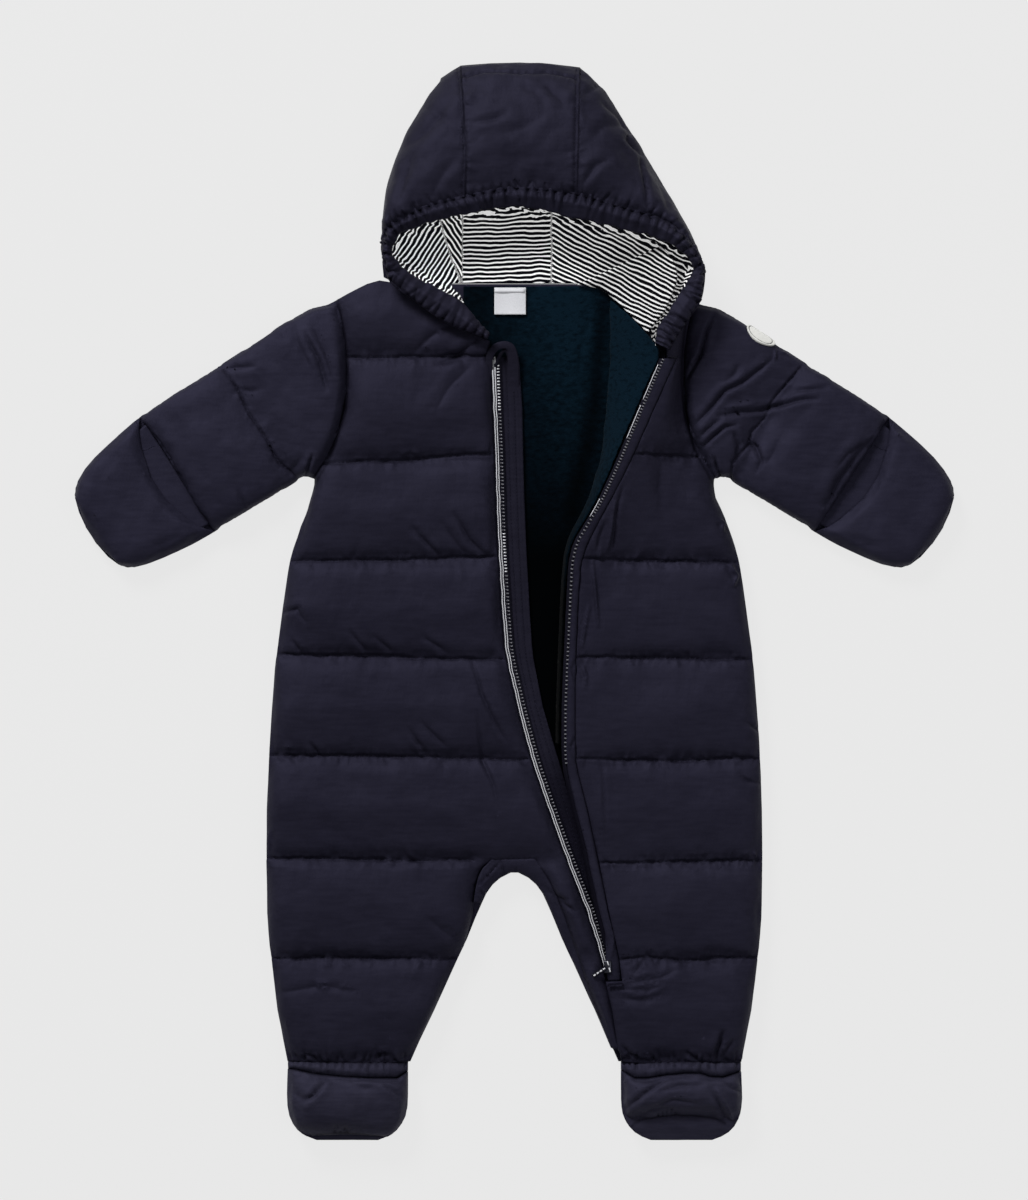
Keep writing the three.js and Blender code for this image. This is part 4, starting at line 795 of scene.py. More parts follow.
# %% A quilted front
def quilted_front(node, name, lines, ankle, hand_creases, seed, jagged):
    rng = np.random.default_rng(seed)
    bm, _ = cloth_copy(node, fine=2.6, coarse=16, lines=lines + [ankle], reach=6, size=1.05)
    refine_near(bm, [row["line"] for row in hand_creases], 3.2, 1.1)
    refine_near(bm, [armhole_of(node)], 2.5, 1.0)
    held = seam_verts(bm, "wall")
    side = node.split("_")[1]
    meet(bm, [f"sleeve_{side}"], 2.6, 6)
    meet(bm, [f"ankle_casing_{side}"], 0.5)
    meet(bm, ["inseam_gusset"], 0.8)
    meet(bm, ["front_left" if side == "right" else "front_right"], 1.8, 4)
    places, normals = points_of(bm)
    height = rumple(places, 46, 1.7, seed, (1.0, 1.6)) + rumple(places, 15, 0.6, seed + 1, (1.0, 0.8))
    height += rumple(places, 5, 0.2, seed + 2, (1.0, 0.6))
    painted_shade_and_print = np.zeros(len(places))
    for line in lines:
        height += stitched_line(places, line, rng, short=1.3 * jagged, long=1.3, painted_shade_and_print=painted_shade_and_print)
    height += stitched_line(places, ankle, rng, depth=1.2, draw=1.6, spread=7, short_how=ANKLE_SHORT,
                            long_how=ANKLE_LONG, painted_shade_and_print=painted_shade_and_print, wander=1.2)
    # Painted shade in the gathers' valleys at the ankle
    gathered, painted_gather_shade, *_ = gathers_across(places, ankle, np.random.default_rng(7), **ANKLE_GATHERS)
    height += gathered
    painted_shade_and_print += painted_gather_shade
    height += CREASE_DEPTH * creases(places, hand_creases, painted_shade_and_print)
    # Dark armhole seam, and on the right front the gusset seam: the thread and painted shade in the seam
    off = off_line(places, armhole_of(node))
    painted_shade_and_print += 0.8 * hump(off, 0.9)
    if node == "front_right":
        painted_shade_and_print += 0.8 * hump(off_line(places, GUSSET_SEAM), 0.8)
    height *= fade_in(away_from(bm, held), 3.5) * 0.75 + 0.25
    move_out(bm, height, normals)
    curve_band(bm, side)
    surface = BVHTree.FromBMesh(bm)
    for line in lines:
        stitches.setdefault("quilting", []).extend(stitch_spots(line, [surface], pitch=3.0, share=0.72, sink=0.05))
    piece = finish_piece(bm, name, NAVY, [node], painted_shade_and_print=painted_shade_and_print)


# %% Right front
GUSSET_SEAM = [
    (18, -178), (22.6, -184.5), (25, -189), (30.3, -201), (33, -208), (37, -219), (43.8, -239), (51, -261),
    (57.2, -279),
]
RIGHT_CREASES = [
    {"line": [(-24, 176), (-34, 166), (-50, 158)], "width": 2.6, "depth": 1.3},
    {"line": [(-40, 186), (-56, 176), (-66, 166)], "width": 3.4, "depth": 1.0},
    {"line": [(-30, 156), (-44, 142), (-52, 128)], "width": 3.0, "depth": 0.7},
    {"line": [(-68, 49.5), (-58, 38), (-50.5, 30)], "width": 1.9, "depth": 0.9},
    {"line": [(-40, 58), (-29.5, 40), (-19, 30)], "width": 2.2, "depth": 1.0},
    {"line": [(-48, 52), (-40, 40), (-34, 32)], "width": 2.6, "depth": 0.6},
    {"line": [(-154.3, -7.2), (-144.5, -5.2), (-139.7, -13.8)], "width": 1.8, "depth": 1.1},
    {"line": [(-148, -26), (-141.7, -35.6)], "width": 1.5, "depth": 0.8},
    {"line": [(-109.3, -19.8), (-104, -27), (-98.5, -33.7)], "width": 1.7, "depth": 0.7},
    {"line": [(-92.6, -23.8), (-86, -30), (-80.8, -35.6)], "width": 1.8, "depth": 0.7},
    {"line": [(-61.2, -23.8), (-53, -29), (-45.5, -33.7)], "width": 2.0, "depth": 0.7},
    {"line": [(-27.9, -39.6), (-22, -61.2), (-14.1, -78.8), (-6.3, -92.5)], "width": 1.5, "depth": 0.9},
    {"line": [(-25, -72.9), (-22, -104.2), (-14.1, -121.9), (-10, -140)], "width": 1.5, "depth": 0.8},
    {"line": [(-69, -86.5), (-64, -95), (-58.3, -103.2)], "width": 1.8, "depth": 1.0},
    {"line": [(-61.2, -80.8), (-53, -90), (-45.7, -96.4)], "width": 2.0, "depth": 0.8},
    {"line": [(-135.7, -94.5), (-129.8, -103.2)], "width": 1.5, "depth": 0.8},
    {"line": [(-163, -153), (-163.5, -160), (-164, -167)], "width": 1.2, "depth": -0.9},
    {"line": [(-57.7, -210.8), (-48, -219), (-37.7, -225.8)], "width": 2.6, "depth": 0.6},
    {"line": [(-156, -260.8), (-129.3, -255.8), (-104.3, -259.2)], "width": 2.4, "depth": 0.6},
    {"line": [(-27, -190), (-18, -180), (-9, -172.5)], "width": 0.9, "depth": 0.9},
    {"line": [(-139.7, -300.8), (-134, -304), (-131, -306)], "width": 1.3, "depth": 1.3},
    {"line": [(-92, -305), (-88, -302.4), (-84.3, -302.6)], "width": 1.2, "depth": 1.2},
    {"line": [(24, -194), (30, -197.5), (36, -200)], "width": 1.6, "depth": 0.9},
    {"line": [(30, -199), (36, -204), (41, -207)], "width": 1.6, "depth": 0.9},
]
quilted_front(
    "front_right", "quilted_front_right", QUILTING_RIGHT, ANKLE_RIGHT, RIGHT_CREASES, 11, 0.85)

# %% Left front
LEFT_CREASES = [
    {"line": [(137, 54.2), (139, 52), (138.6, 47)], "width": 1.1, "depth": -1.1},
    {"line": [(143.7, 24), (148.1, 17), (146, 11), (143.7, 12.2)], "width": 1.3, "depth": -1.3},
    {"line": [(52, 26), (54, 4), (55.9, -17)], "width": 1.2, "depth": -1.1},
    {"line": [(49.6, -3.6), (47, -17), (45.2, -30.3)], "width": 1.1, "depth": -0.9},
    {"line": [(45.9, -43.6), (47.7, -50), (47, -58)], "width": 1.1, "depth": -0.8},
    {"line": [(67, 66), (64.5, 48), (61.5, 33)], "width": 1.5, "depth": -1.1},
    {"line": [(72, 76), (67, 58), (65, 36)], "width": 1.4, "depth": 1.1},
    {"line": [(60, 52), (57, 44), (54.6, 33)], "width": 1.4, "depth": 0.9},
    {"line": [(58.6, -107), (60, -140), (60.4, -166)], "width": 1.3, "depth": 0.55},
    {"line": [(98, 92), (96, 74), (99, 56)], "width": 4.0, "depth": 0.7},
    {"line": [(155, -80), (159, -84), (163, -86)], "width": 1.8, "depth": 0.9},
    {"line": [(150, -116), (156, -120), (164, -121)], "width": 1.8, "depth": 0.9},
    {"line": [(75.3, -254.2), (97, -250.8), (107, -245.8)], "width": 1.9, "depth": 0.9},
    {"line": [(68.7, -264.2), (85.3, -265.8), (100.3, -260.8)], "width": 2.3, "depth": 0.8},
    {"line": [(70, -258), (88, -259), (100, -255)], "width": 1.8, "depth": 0.7},
    {"line": [(85.3, -240), (83, -244), (80, -248)], "width": 1.5, "depth": 0.9},
    {"line": [(138.7, -287), (137.5, -294), (133.7, -304)], "width": 2.0, "depth": 2.0},
    {"line": [(145, -293), (141, -299), (138, -304)], "width": 1.6, "depth": 1.3},
    {"line": [(72, -297), (77, -302), (84, -306)], "width": 1.5, "depth": 1.4},
    {"line": [(115, -301), (120, -305), (124, -306.5)], "width": 1.5, "depth": 1.3},
]
quilted_front(
    "front_left", "quilted_front_left", QUILTING_LEFT, ANKLE_LEFT, LEFT_CREASES, 23, 1.5)

# %% [markdown]
# ## Back and gusset
# The back lies flat on the floor, so only its rolled edge shows. The gusset is a soft strip over the crotch
# and down inside the left leg, with one folded corner where it meets the right front.

# %% Back panel and gusset
bm, held = cloth_copy("back_panel", fine=6, coarse=16)
places, normals = points_of(bm)
height = rumple(places, 26, 0.8, 5) * fade_in(away_from(bm, held), 6)
move_out(bm, np.minimum(height, 0.2), normals)
back = finish_piece(bm, "quilted_back", NAVY, ["back_panel"])

GUSSET_CREASES = [
    {"line": [(-9, -173), (-7, -181), (-11, -190)], "width": 0.9, "depth": 1.0},
    {"line": [(-26, -191), (-17, -182), (-9, -173)], "width": 0.8, "depth": 0.8},
    {"line": [(-25, -191.5), (-21, -195), (-19, -199)], "width": 0.9, "depth": 0.8},
    {"line": [(2, -173), (1.2, -181)], "width": 0.6, "depth": 0.5},
    {"line": [(20, -190), (26, -196), (28, -206)], "width": 1.6, "depth": 0.5},
]
bm, held = cloth_copy("inseam_gusset", fine=1.6, coarse=10)
meet(bm, ["front_right"], 0.8)
places, normals = points_of(bm)
# Dark gusset seam: the thread and painted shade in the seam
painted_shade_and_print = 0.8 * hump(off_line(places, GUSSET_SEAM), 0.8)
height = (rumple(places, 14, 0.8, 8) + 1.6 * creases(places, GUSSET_CREASES, painted_shade_and_print)) * fade_in(away_from(bm, held), 2)
move_out(bm, height, normals)
gusset = finish_piece(bm, "crotch_gusset", NAVY, ["inseam_gusset"], painted_shade_and_print=painted_shade_and_print)

# %% [markdown]
# ## Strips along the zip
# On the right a wind flap lies under the zip tape, stitched along its length and folded into a loop at
# the top. On the left a narrow facing runs beside the teeth. All of them follow the rows of their solids.


# %% Long lines of a strip
def courses(node):
    """The long lines of a strip, from its solid's own rows, left to right on its top side."""
    bm = merged_copy(node)
    rows = {}
    for v in bm.verts:
        p = v.co * 1000
        row = rows.setdefault(round(p.y, 2), {})
        key = round(p.x, 1)
        if key not in row or row[key].z < p.z:
            row[key] = p.copy()
    bm.free()
    count = min(len(row) for row in rows.values())
    full = [[rows[y][x] for x in sorted(rows[y])] for y in sorted(rows, reverse=True) if len(rows[y]) == count]
    return [list(line) for line in zip(*full)]


def shared(first, second, share, lift=0.0):
    return [a.lerp(b, share) + Vector((0, 0, lift)) for a, b in zip(first, second)]


def stretch(line, high, low):
    """The part of a line that runs down the page from one height to another."""
    ys = [-p[1] for p in line]
    inside = [p for p in line if low < p[1] < high]
    ends = [Vector([float(np.interp(-y, ys, [p[k] for p in line])) for k in range(3)]) for y in (high, low)]
    return [ends[0], *inside, ends[1]]


# %% Cloth of the strips
tape_right, tape_left = courses("zip_tape_right"), courses("zip_tape_left")
facing_left, flap_lines = courses("zip_facing_left"), courses("wind_flap")
FACING_CREASES = [
    {"line": [(41, 26), (43, 18), (42, 8)], "width": 1.1, "depth": -0.6},
    {"line": [(41, -38), (38, -46), (41, -54)], "width": 1.2, "depth": 0.6},
    {"line": [(41, -90), (37, -98), (41, -108)], "width": 1.2, "depth": 0.6},
    {"line": [(50, -140), (56, -170), (62, -200)], "width": 1.3, "depth": 0.5},
    {"line": [(60, -200), (66, -224), (66, -246)], "width": 1.2, "depth": -0.7},
]
FLARE_TOP, FLARE_LENGTH, FLARE = -222, 24, 5.5  # the facing widens to the slider over its last part
strip_surfaces, strip_pieces = {}, {}
for node, name, material, slot, soft in [
    ("wind_flap", "wind_flap_cloth", NAVY_FLY, "shell_light", 0.45),
    ("zip_tape_right", "zip_tape_right_cloth", TAPE, "tape", 0.1),
    ("zip_tape_left", "zip_tape_left_cloth", TAPE, "tape", 0.1),
    ("zip_facing_left", "zip_facing_left_cloth", NAVY, "shell", 0.35),
]:
    bm, _ = cloth_copy(node, fine=1.6, coarse=6, rounds=3)
    places, normals = points_of(bm)
    height = rumple(places, 9, soft, 14, (1.0, 0.6))
    painted_shade_and_print = np.zeros(len(places))
    if node == "zip_facing_left":
        height += 1.5 * creases(places, FACING_CREASES, painted_shade_and_print)
        # Dark lines along both edges of the facing: painted shade in the seams, with the dark thread
        painted_shade_and_print += 0.75 * hump(off_line(places, facing_left[-1]), 0.8)
        inner_off = off_line(places, facing_left[0])
        painted_shade_and_print += 0.5 * hump(inner_off, 0.8) * (places[:, 1] > -225)
        outer_off = np.abs(off_line(places, facing_left[-1]))
        lower = np.clip((FLARE_TOP - places[:, 1]) / FLARE_LENGTH, 0, 1)
        flare = lower * outer_off / (outer_off + np.abs(inner_off) + 0.01)
        for v, share in zip(bm.verts, flare):
            v.co.x -= FLARE * share * MM
    if node in ("zip_tape_left", "zip_tape_right"):
        # Painted shade: both tapes darken towards the bottom, where the opening is deep
        painted_shade_and_print += 0.9 * np.clip((-80 - places[:, 1]) / 50, 0, 1)
    if node == "wind_flap":
        for share in (0.52, 0.74, 0.9):
            off = off_line(places, shared(flap_lines[0], flap_lines[1], share))
            height -= 0.35 * hump(off, 0.7)
            painted_shade_and_print += 0.4 * hump(off, 0.5)
        # Painted shade: the flap darkens towards its bottom, into the deep shade of the opening, and a little towards
        # its top
        painted_shade_and_print += 1.2 * np.clip((-95 - places[:, 1]) / 60, 0, 1) + 0.35 * np.clip((places[:, 1] - 130) / 40, 0, 1)
    move_out(bm, height, normals)
    strip_surfaces[node] = BVHTree.FromBMesh(bm)
    strip_pieces[node] = finish_piece(bm, name, material, [node], painted_shade_and_print=painted_shade_and_print)

# %% Reflective lines and teeth
RIBBON_LIFT = 0.3
outer, middle, inner = tape_right
for name, share, width in [("outer", 0.34, 0.72), ("inner", 0.8, 0.62)]:
    line = shared(outer, middle, share, RIBBON_LIFT)
    bm = laid_strip(line, lambda at, w=width: w * (1.2 - 0.35 * min(at / 0.12, 1)), 0.2, step=1.6, wander=0.45)
    finish_piece(bm, f"reflective_line_{name}", SILVER)
spots = walk(shared(outer, middle, 0.6, RIBBON_LIFT), 1.7)
small_boxes("reflective_line_dots", spots, (0.8, 0.3, 0.4), TEETH_PALE)

teeth_line = shared(middle, inner, 0.42, 0.25)
long_teeth = walk(stretch(teeth_line, 158, 126), 2.1) + walk(stretch(teeth_line, 46, 18), 2.1)
teeth = [Vector((-a.y, a.x, 0)) for _, a in long_teeth]
long_spots = [(place, side) for (place, _), side in zip(long_teeth, teeth)]
# The teeth that look lit are made of the bright reflective silver: painted highlight
small_boxes("teeth_right_lit", long_spots, (1.9, 0.8, 1.0), SILVER)
short_teeth = [(place, Vector((-a.y, a.x, 0))) for part in ((126, 46), (18, -250))
               for place, a in walk(stretch(teeth_line, *part), 2.35)]
small_boxes("teeth_right", short_teeth, (2.3, 1.15, 1.0), TEETH)
# Pale tips on the lower teeth: painted highlight
tips = [(place + side * 0.5 + Vector((0, 0, 0.45)), side) for place, side in short_teeth if place.y > -225]
small_boxes("teeth_right_tips", tips, (0.9, 0.8, 0.35), TEETH_PALE)

left_top = [p + Vector((0.1, 0, 0.2)) for p in tape_left[-1]]
left_teeth = [(place, Vector((-a.y, a.x, -0.35)).normalized())
              for part, pitch in (((162, 60), 2.1), ((60, -110), 2.75))
              for place, a in walk(stretch(left_top, *part), pitch)]
left_base = small_boxes("teeth_left", left_teeth, (2.5, 1.2, 1.2), TEETH)
# Pale tips on the left teeth: painted highlight
tips = [(place + Vector((-0.1, 0, 0.5)), side) for place, side in left_teeth]
left_tips = small_boxes("teeth_left_tips", tips, (1.45, 0.78, 0.5), TEETH_PALE)
for number, part in enumerate([(157, 133), (130, 107), (68, 56)]):
    line = [p + Vector((-2.0, 0, -0.3)) for p in stretch(left_top, *part)]
    bm = laid_strip(line, 0.5, 0.2, step=1.5)
    finish_piece(bm, f"reflective_edge_{number}", SILVER)
print("teeth", len(long_spots) + len(short_teeth) + len(left_teeth))

# %% Loop at the top of the wind flap
LOOP = [(-16.0, 150, 14.2), (-17.4, 158, 16.0), (-16.4, 165, 17.2), (-12.2, 169.6, 18.2), (-6.8, 171.6, 18.6),
        (-2.2, 169.2, 17.8), (-0.4, 162, 16.0), (-0.9, 150, 13.6), (-0.7, 138, 12.2)]
LOOP_INSIDE = [(-12.6, 156, 15.3), (-10.4, 163, 16.6), (-7.0, 168.0, 17.2), (-4.4, 166.4, 17.0), (-3.4, 160, 15.4)]


def rounded(line, cuts=4):
    """A smoother line through the same points."""
    points = [Vector(p) for p in line]
    for _ in range(cuts):
        middles = [(a + b) / 2 for a, b in zip(points[:-1], points[1:])]
        mixed = [points[0]]
        for m, p in zip(middles, points[1:]):
            mixed += [m, p]
        points = [mixed[0]] + [(a + b * 2 + c) / 4 for a, b, c in zip(mixed, mixed[1:], mixed[2:])] + [mixed[-1]]
    return points


bm = laid_strip(rounded(LOOP), lambda at: 5.2 + 3.6 * min(max((at - 0.45) / 0.3, 0), 1), 0.8, step=1.2, columns=6,
                arch=0.5, wander=0.5)
loop_outer = finish_piece(bm, "flap_top_loop", NAVY_FLY)
bm = laid_strip(rounded(LOOP_INSIDE), 2.4, 0.6, step=1.2, columns=2, arch=0.3)
loop_inner = finish_piece(bm, "flap_loop_hem", TAPE)
for share in (0.52, 0.74):
    line = shared(flap_lines[0], flap_lines[1], share)
    stitches.setdefault("flap", []).extend(stitch_spots(stretch(line, 150, -190), [strip_surfaces["wind_flap"]], 2.3))

# %% [markdown]
# ## Fleece
# The lining is fleece. It lies on the back and turns up to the left zip in one slope.

# %% Fleece
FLEECE_CREASES = [
    {"line": [(-20, 200), (-16, 160), (-10, 120)], "width": 5, "depth": 0.8},
    {"line": [(52, 196), (46, 176), (44, 150)], "width": 4, "depth": 0.8},
]
FLEECE_FOLD = [(60, 200), (57, 176), (54, 134), (48, 100), (38, 60)]
FLEECE_SHADE = {"back_lining": (30, 190), "front_left_lining": (0, 110)}
FLEECE_CUT = {"back_lining": (107, 328, 0.62), "front_left_lining": (52, 300, 0.33)}
for node, name in [("back_lining", "back_fleece"), ("front_left_lining", "turned_fleece_left")]:
    bm, _ = cloth_copy(node, fine=2.2, coarse=8, rounds=6)
    places, normals = points_of(bm)
    height = rumple(places, 22, 0.7, 31) + rumple(places, 4, 0.16, 32) + creases(places, FLEECE_CREASES)
    move_out(bm, np.minimum(height, 0.25), normals)
    foot, top = FLEECE_SHADE[node]
    # Painted shade: the fleece darkens towards the bottom, towards the left at the back, and along a fold line
    painted_fleece_shade = np.clip((places[:, 1] - foot) / (top - foot), 0, 1)
    if node == "back_lining":
        painted_fleece_shade *= np.clip((places[:, 0] + 30 + places[:, 1] * 0.05) / 70, 0.25, 1)
        off = off_line(places, FLEECE_FOLD)
        painted_fleece_shade *= 1 - 0.75 * hump(off, 7)
    area = sum(face.calc_area() for face in bm.faces) / 2
    piece = finish_piece(bm, name, FLEECE, [node], across=painted_fleece_shade)
    width, length, share = FLEECE_CUT[node]
    print(name, "area cm2", round(area * 1e4), "of", round(width * length * share / 100))

# %% [markdown]
# ## Hood
# Three padded panels meet in two topstitched seams over the crown. An elastic in the casing gathers the
# edge, so short deep puckers cross its stitched line and folds run up from it.

# %% Hood lines
CASING_OUTER = [
    (-19, 173.5), (-45, 184.8), (-67, 200), (-84, 214.2), (-88, 232.8), (-85, 246.8), (-65.7, 258.8), (-33, 268.2),
    (2.3, 273.8), (41.7, 269.5), (71, 260.8), (99.7, 252.4), (117, 237.5), (126.4, 217.5), (124.6, 202.2),
    (115.7, 186.8), (107.6, 174.4), (103, 166.2),
]
CASING_INNER = [
    (-17, 178), (-38, 201), (-57.7, 211.5), (-75, 222.2), (-81.3, 232.2), (-77.7, 242), (-60.3, 251), (-34, 258.5),
    (0, 264), (39.7, 256.5), (68, 249), (95, 241), (112, 230.5), (118.4, 220.5), (112.6, 208.8), (102.4, 192),
    (94.6, 180), (93, 171),
]
SEAM_RIGHT = [
    (-36.4, 359), (-35.8, 352), (-34, 334), (-32.6, 315), (-31.6, 295), (-32.6, 268), (-33.6, 240), (-35, 211),
]
SEAM_LEFT = [(43.9, 358), (43.6, 352), (42.8, 325), (42.2, 295), (41.7, 269), (40.8, 240), (40, 211)]
CROWN_FOLD = [(-36.5, 349.5), (-20, 352.3), (26, 351.6), (41, 348.6)]
CASING_LONG = {"pitch": (9, 22), "reach": (13, 30), "rise": (0.5, 1.4), "wide": (1.8, 3.2)}
HOOD_CREASES = [
    {"line": [(-27.7, 317.5), (-13, 319.6), (-4.7, 323.8)], "width": 2.2, "depth": 0.9},
    {"line": [(20.2, 342.9), (27, 336), (33.2, 329.9)], "width": 3.0, "depth": 1.0},
    {"line": [(2, 345), (14, 338), (22, 328)], "width": 4.0, "depth": 0.7},
    {"line": [(-10, 310), (6, 314), (20, 322)], "width": 4.2, "depth": 0.7},
    {"line": [(57.7, 332), (70.3, 321.7), (76.3, 312.3)], "width": 2.4, "depth": 1.2},
    {"line": [(46, 336), (56, 344), (62, 348)], "width": 3.0, "depth": 0.9},
    {"line": [(76.3, 312.3), (74.3, 307), (82.8, 298.8), (87, 296.8)], "width": 1.7, "depth": 1.4},
    {"line": [(83.8, 296.5), (87, 280), (88, 263.5), (89, 255)], "width": 1.4, "depth": 1.3},
    {"line": [(45.3, 275.8), (53.7, 288.3), (62, 292.5)], "width": 2.4, "depth": 1.2},
    {"line": [(50, 306), (60, 316), (76, 316)], "width": 3.6, "depth": 0.8},
    {"line": [(96, 286), (99, 272), (103, 258)], "width": 2.6, "depth": 0.9},
    {"line": [(-78, 262), (-74, 280), (-68, 296)], "width": 2.6, "depth": 0.8},
    {"line": [(-56, 266), (-48, 282), (-40, 292)], "width": 4.0, "depth": 0.9},
    {"line": [(-74, 300), (-58, 312), (-42, 334)], "width": 4.0, "depth": 0.8},
    {"line": [(-60, 330), (-50, 322), (-40, 316)], "width": 3.6, "depth": 0.7},
]


def casing_gathers(places):
    """The same gathers for every piece that meets the casing's stitched line."""
    rng = np.random.default_rng(47)
    height, painted_gather_shade, run, off, length = gathers_across(places, CASING_OUTER, rng, (5.0, 8.4), (2.5, 9), (6, 11))
    return height + puckers(run, off, length, rng, **CASING_LONG), painted_gather_shade, off


# %% Hood panels
def hood_height(places, seed):
    rng = np.random.default_rng(seed)
    painted_shade_and_print = np.zeros(len(places))
    height = rumple(places, 34, 1.8, 41) + rumple(places, 12, 0.9, 42) + rumple(places, 5, 0.25, 44)
    upper = np.clip((places[:, 2] - 6) / 4, 0, 1)
    height += CREASE_DEPTH * creases(places, HOOD_CREASES, painted_shade_and_print) * upper
    height += stitched_line(places, CROWN_FOLD, rng, depth=1.5, width=1.2, draw=0.5, long=0.4, painted_shade_and_print=painted_shade_and_print,
                            dark=0.5) * upper
    for line in (SEAM_RIGHT, SEAM_LEFT):
        height += stitched_line(places, line, rng, depth=1.3, width=1.0, draw=0.6, short=1.6, long=1.2, painted_shade_and_print=painted_shade_and_print,
                                dark=1.0, wander=0.12) * upper
        off = off_line(places, beside(line, TOPSTITCH))
        height -= 1.0 * hump(off, 0.75) * upper
        # Dark topstitch line: the thread and painted shade in its groove
        painted_shade_and_print += 0.7 * hump(off, 0.5)
    # Painted shade in the gathers' valleys along the casing
    gathers, painted_gather_shade, off = casing_gathers(places)
    return height + (gathers - 1.2 * hump(off, 1.6)) * upper, (painted_shade_and_print + painted_gather_shade) * upper


TOPSTITCH = -2.3
HOOD_SIDES = {"hood_side_right": "hood_panel_right", "hood_centre": "hood_panel_centre",
              "hood_side_left": "hood_panel_left"}
hood_surfaces = []
for node, name in HOOD_SIDES.items():
    bm, held = cloth_copy(node, fine=2.2, coarse=14, seams=55, rounds=10,
                          lines=[CASING_OUTER, SEAM_RIGHT, SEAM_LEFT, CROWN_FOLD], reach=6, size=1.0)
    meet(bm, [other for other in HOOD_SIDES if other != node], 1.4)
    meet(bm, ["hood_casing"], 1.5)
    places, normals = points_of(bm)
    height, painted_shade_and_print = hood_height(places, 43)
    height *= 0.4 + 0.6 * fade_in(away_from(bm, held), 4)
    move_out(bm, height, normals)
    hood_surfaces.append(BVHTree.FromBMesh(bm))
    panel = finish_piece(bm, name, NAVY_HOOD, [node], painted_shade_and_print=painted_shade_and_print)
for line in (SEAM_RIGHT, SEAM_LEFT):
    stitches.setdefault("hood", []).extend(stitch_spots(beside(line, TOPSTITCH)[:6], hood_surfaces, 2.4, sink=0.05))

# %% Gathered casing
bm, _ = cloth_copy("hood_casing", fine=1.1, coarse=5, seams=70, rounds=2)
meet(bm, HOOD_SIDES, 1.3, 2.5)
places, normals = points_of(bm)
# The casing's gathers: painted shade in their valleys and along the stitched line
gathers, painted_shade_and_print, off = casing_gathers(places)
run = along(places, CASING_OUTER)[0]
rng = np.random.default_rng(48)
inner_off = off_line(places, CASING_INNER)
height = gathers + 0.5 * ripple(run, 4.2, rng) * fade_in(np.abs(off), 4)
height -= 1.2 * hump(off, 0.9)
move_out(bm, height, normals)
scallop = 0.9 * ripple(run, 3.0, rng) * hump(np.abs(inner_off), 2.5)
crown = np.exp(-(((places[:, 0] - 8) / 70) ** 4)) * (places[:, 1] > 230)
widen = 3.0 * np.clip(1 - np.abs(inner_off) / 6, 0, 1) * crown
for v, shift in zip(bm.verts, scallop - widen):
    v.co.y += shift * MM
bm.normal_update()
casing_surface = BVHTree.FromBMesh(bm)
casing = finish_piece(bm, "gathered_hood_casing", NAVY_HOOD, ["hood_casing"], painted_shade_and_print=painted_shade_and_print)
stitch_line = [tuple(np.array(a) * 0.86 + np.array(b) * 0.14) for a, b in zip(CASING_OUTER, CASING_INNER)]
stitches["hood"].extend(stitch_spots(stitch_line, [casing_surface], 2.4, sink=0.05))

# %% [markdown]
# ## Striped hood lining
# The lining lies on the hood's floor. A fold runs down its right panel, and along the casing the jersey
# is bunched by the elastic and shows as a crumpled hem.

# %% Striped hood lining
FOLD = [(-52, 262), (-47, 244.2), (-43, 232), (-37.7, 218.8), (-33, 206)]
SIDE_SEAM_X = 24.7
LININGS = [
    {"node": "hood_lining_side_right", "name": "jersey_lining_right", "cut": (38, 118, 0.75)},
    {"node": "hood_lining_centre", "name": "jersey_lining_centre", "cut": (77, 119, 0.96)},
    {"node": "hood_lining_side_left", "name": "jersey_lining_left", "cut": (69, 117, 0.6)},
    {"node": "hood_lining_neck_left", "name": "jersey_lining_neck", "cut": (40, 66, 0.8)},
]
JERSEY_CREASES = [
    {"line": [(24.7, 266), (24.7, 244), (25.4, 222)], "width": 0.8, "depth": 0.8},
    {"line": [(-35, 262), (-35, 244), (-35.4, 222)], "width": 0.8, "depth": 0.8},
    {"line": [(30, 250), (33, 238), (36, 226)], "width": 2.0, "depth": 0.7},
    {"line": [(48, 232), (62, 226), (78, 224)], "width": 2.0, "depth": 0.8},
    {"line": [(78, 262), (84, 250), (94, 240)], "width": 2.2, "depth": 0.9},
    {"line": [(-30, 216), (0, 214.5), (36, 215)], "width": 1.4, "depth": 0.8},
]


def stripes_across(places):
    """How far across the stripes each point lies: one direction for each panel of the real lining."""
    def turned(degrees):
        return places[:, 0] * math.cos(math.radians(degrees)) + places[:, 1] * math.sin(math.radians(degrees))

    off = off_line(places, FOLD)
    x = places[:, 0]
    across = np.where(x < -35, np.where(off > 0, turned(32), turned(148)), turned(92))
    across = np.where(x > SIDE_SEAM_X, turned(62), across)
    return across + rumple(places, 18, 1.6, 51) + rumple(places, 6, 0.5, 52), off


for row in LININGS:
    bm, held = cloth_copy(row["node"], fine=1.5, coarse=6, seams=60, rounds=6)
    meet(bm, [other["node"] for other in LININGS if other is not row], 1.4, 3)
    places, normals = points_of(bm)
    across, off = stripes_across(places)
    height = rumple(places, 13, 0.9, 53) + rumple(places, 5, 0.3, 54) + creases(places, JERSEY_CREASES)
    if row["name"] == "jersey_lining_right":
        height += 1.6 * hump(off + 2.5, 2.2) - 0.9 * np.clip(off / 2, 0, 1)
    move_out(bm, np.maximum(height, -0.5) * fade_in(away_from(bm, held), 2.5), normals)
    jersey = JERSEY_RAISED if row["name"].endswith("neck") else JERSEY
    piece = finish_piece(bm, row["name"], jersey, [row["node"]], across=across)

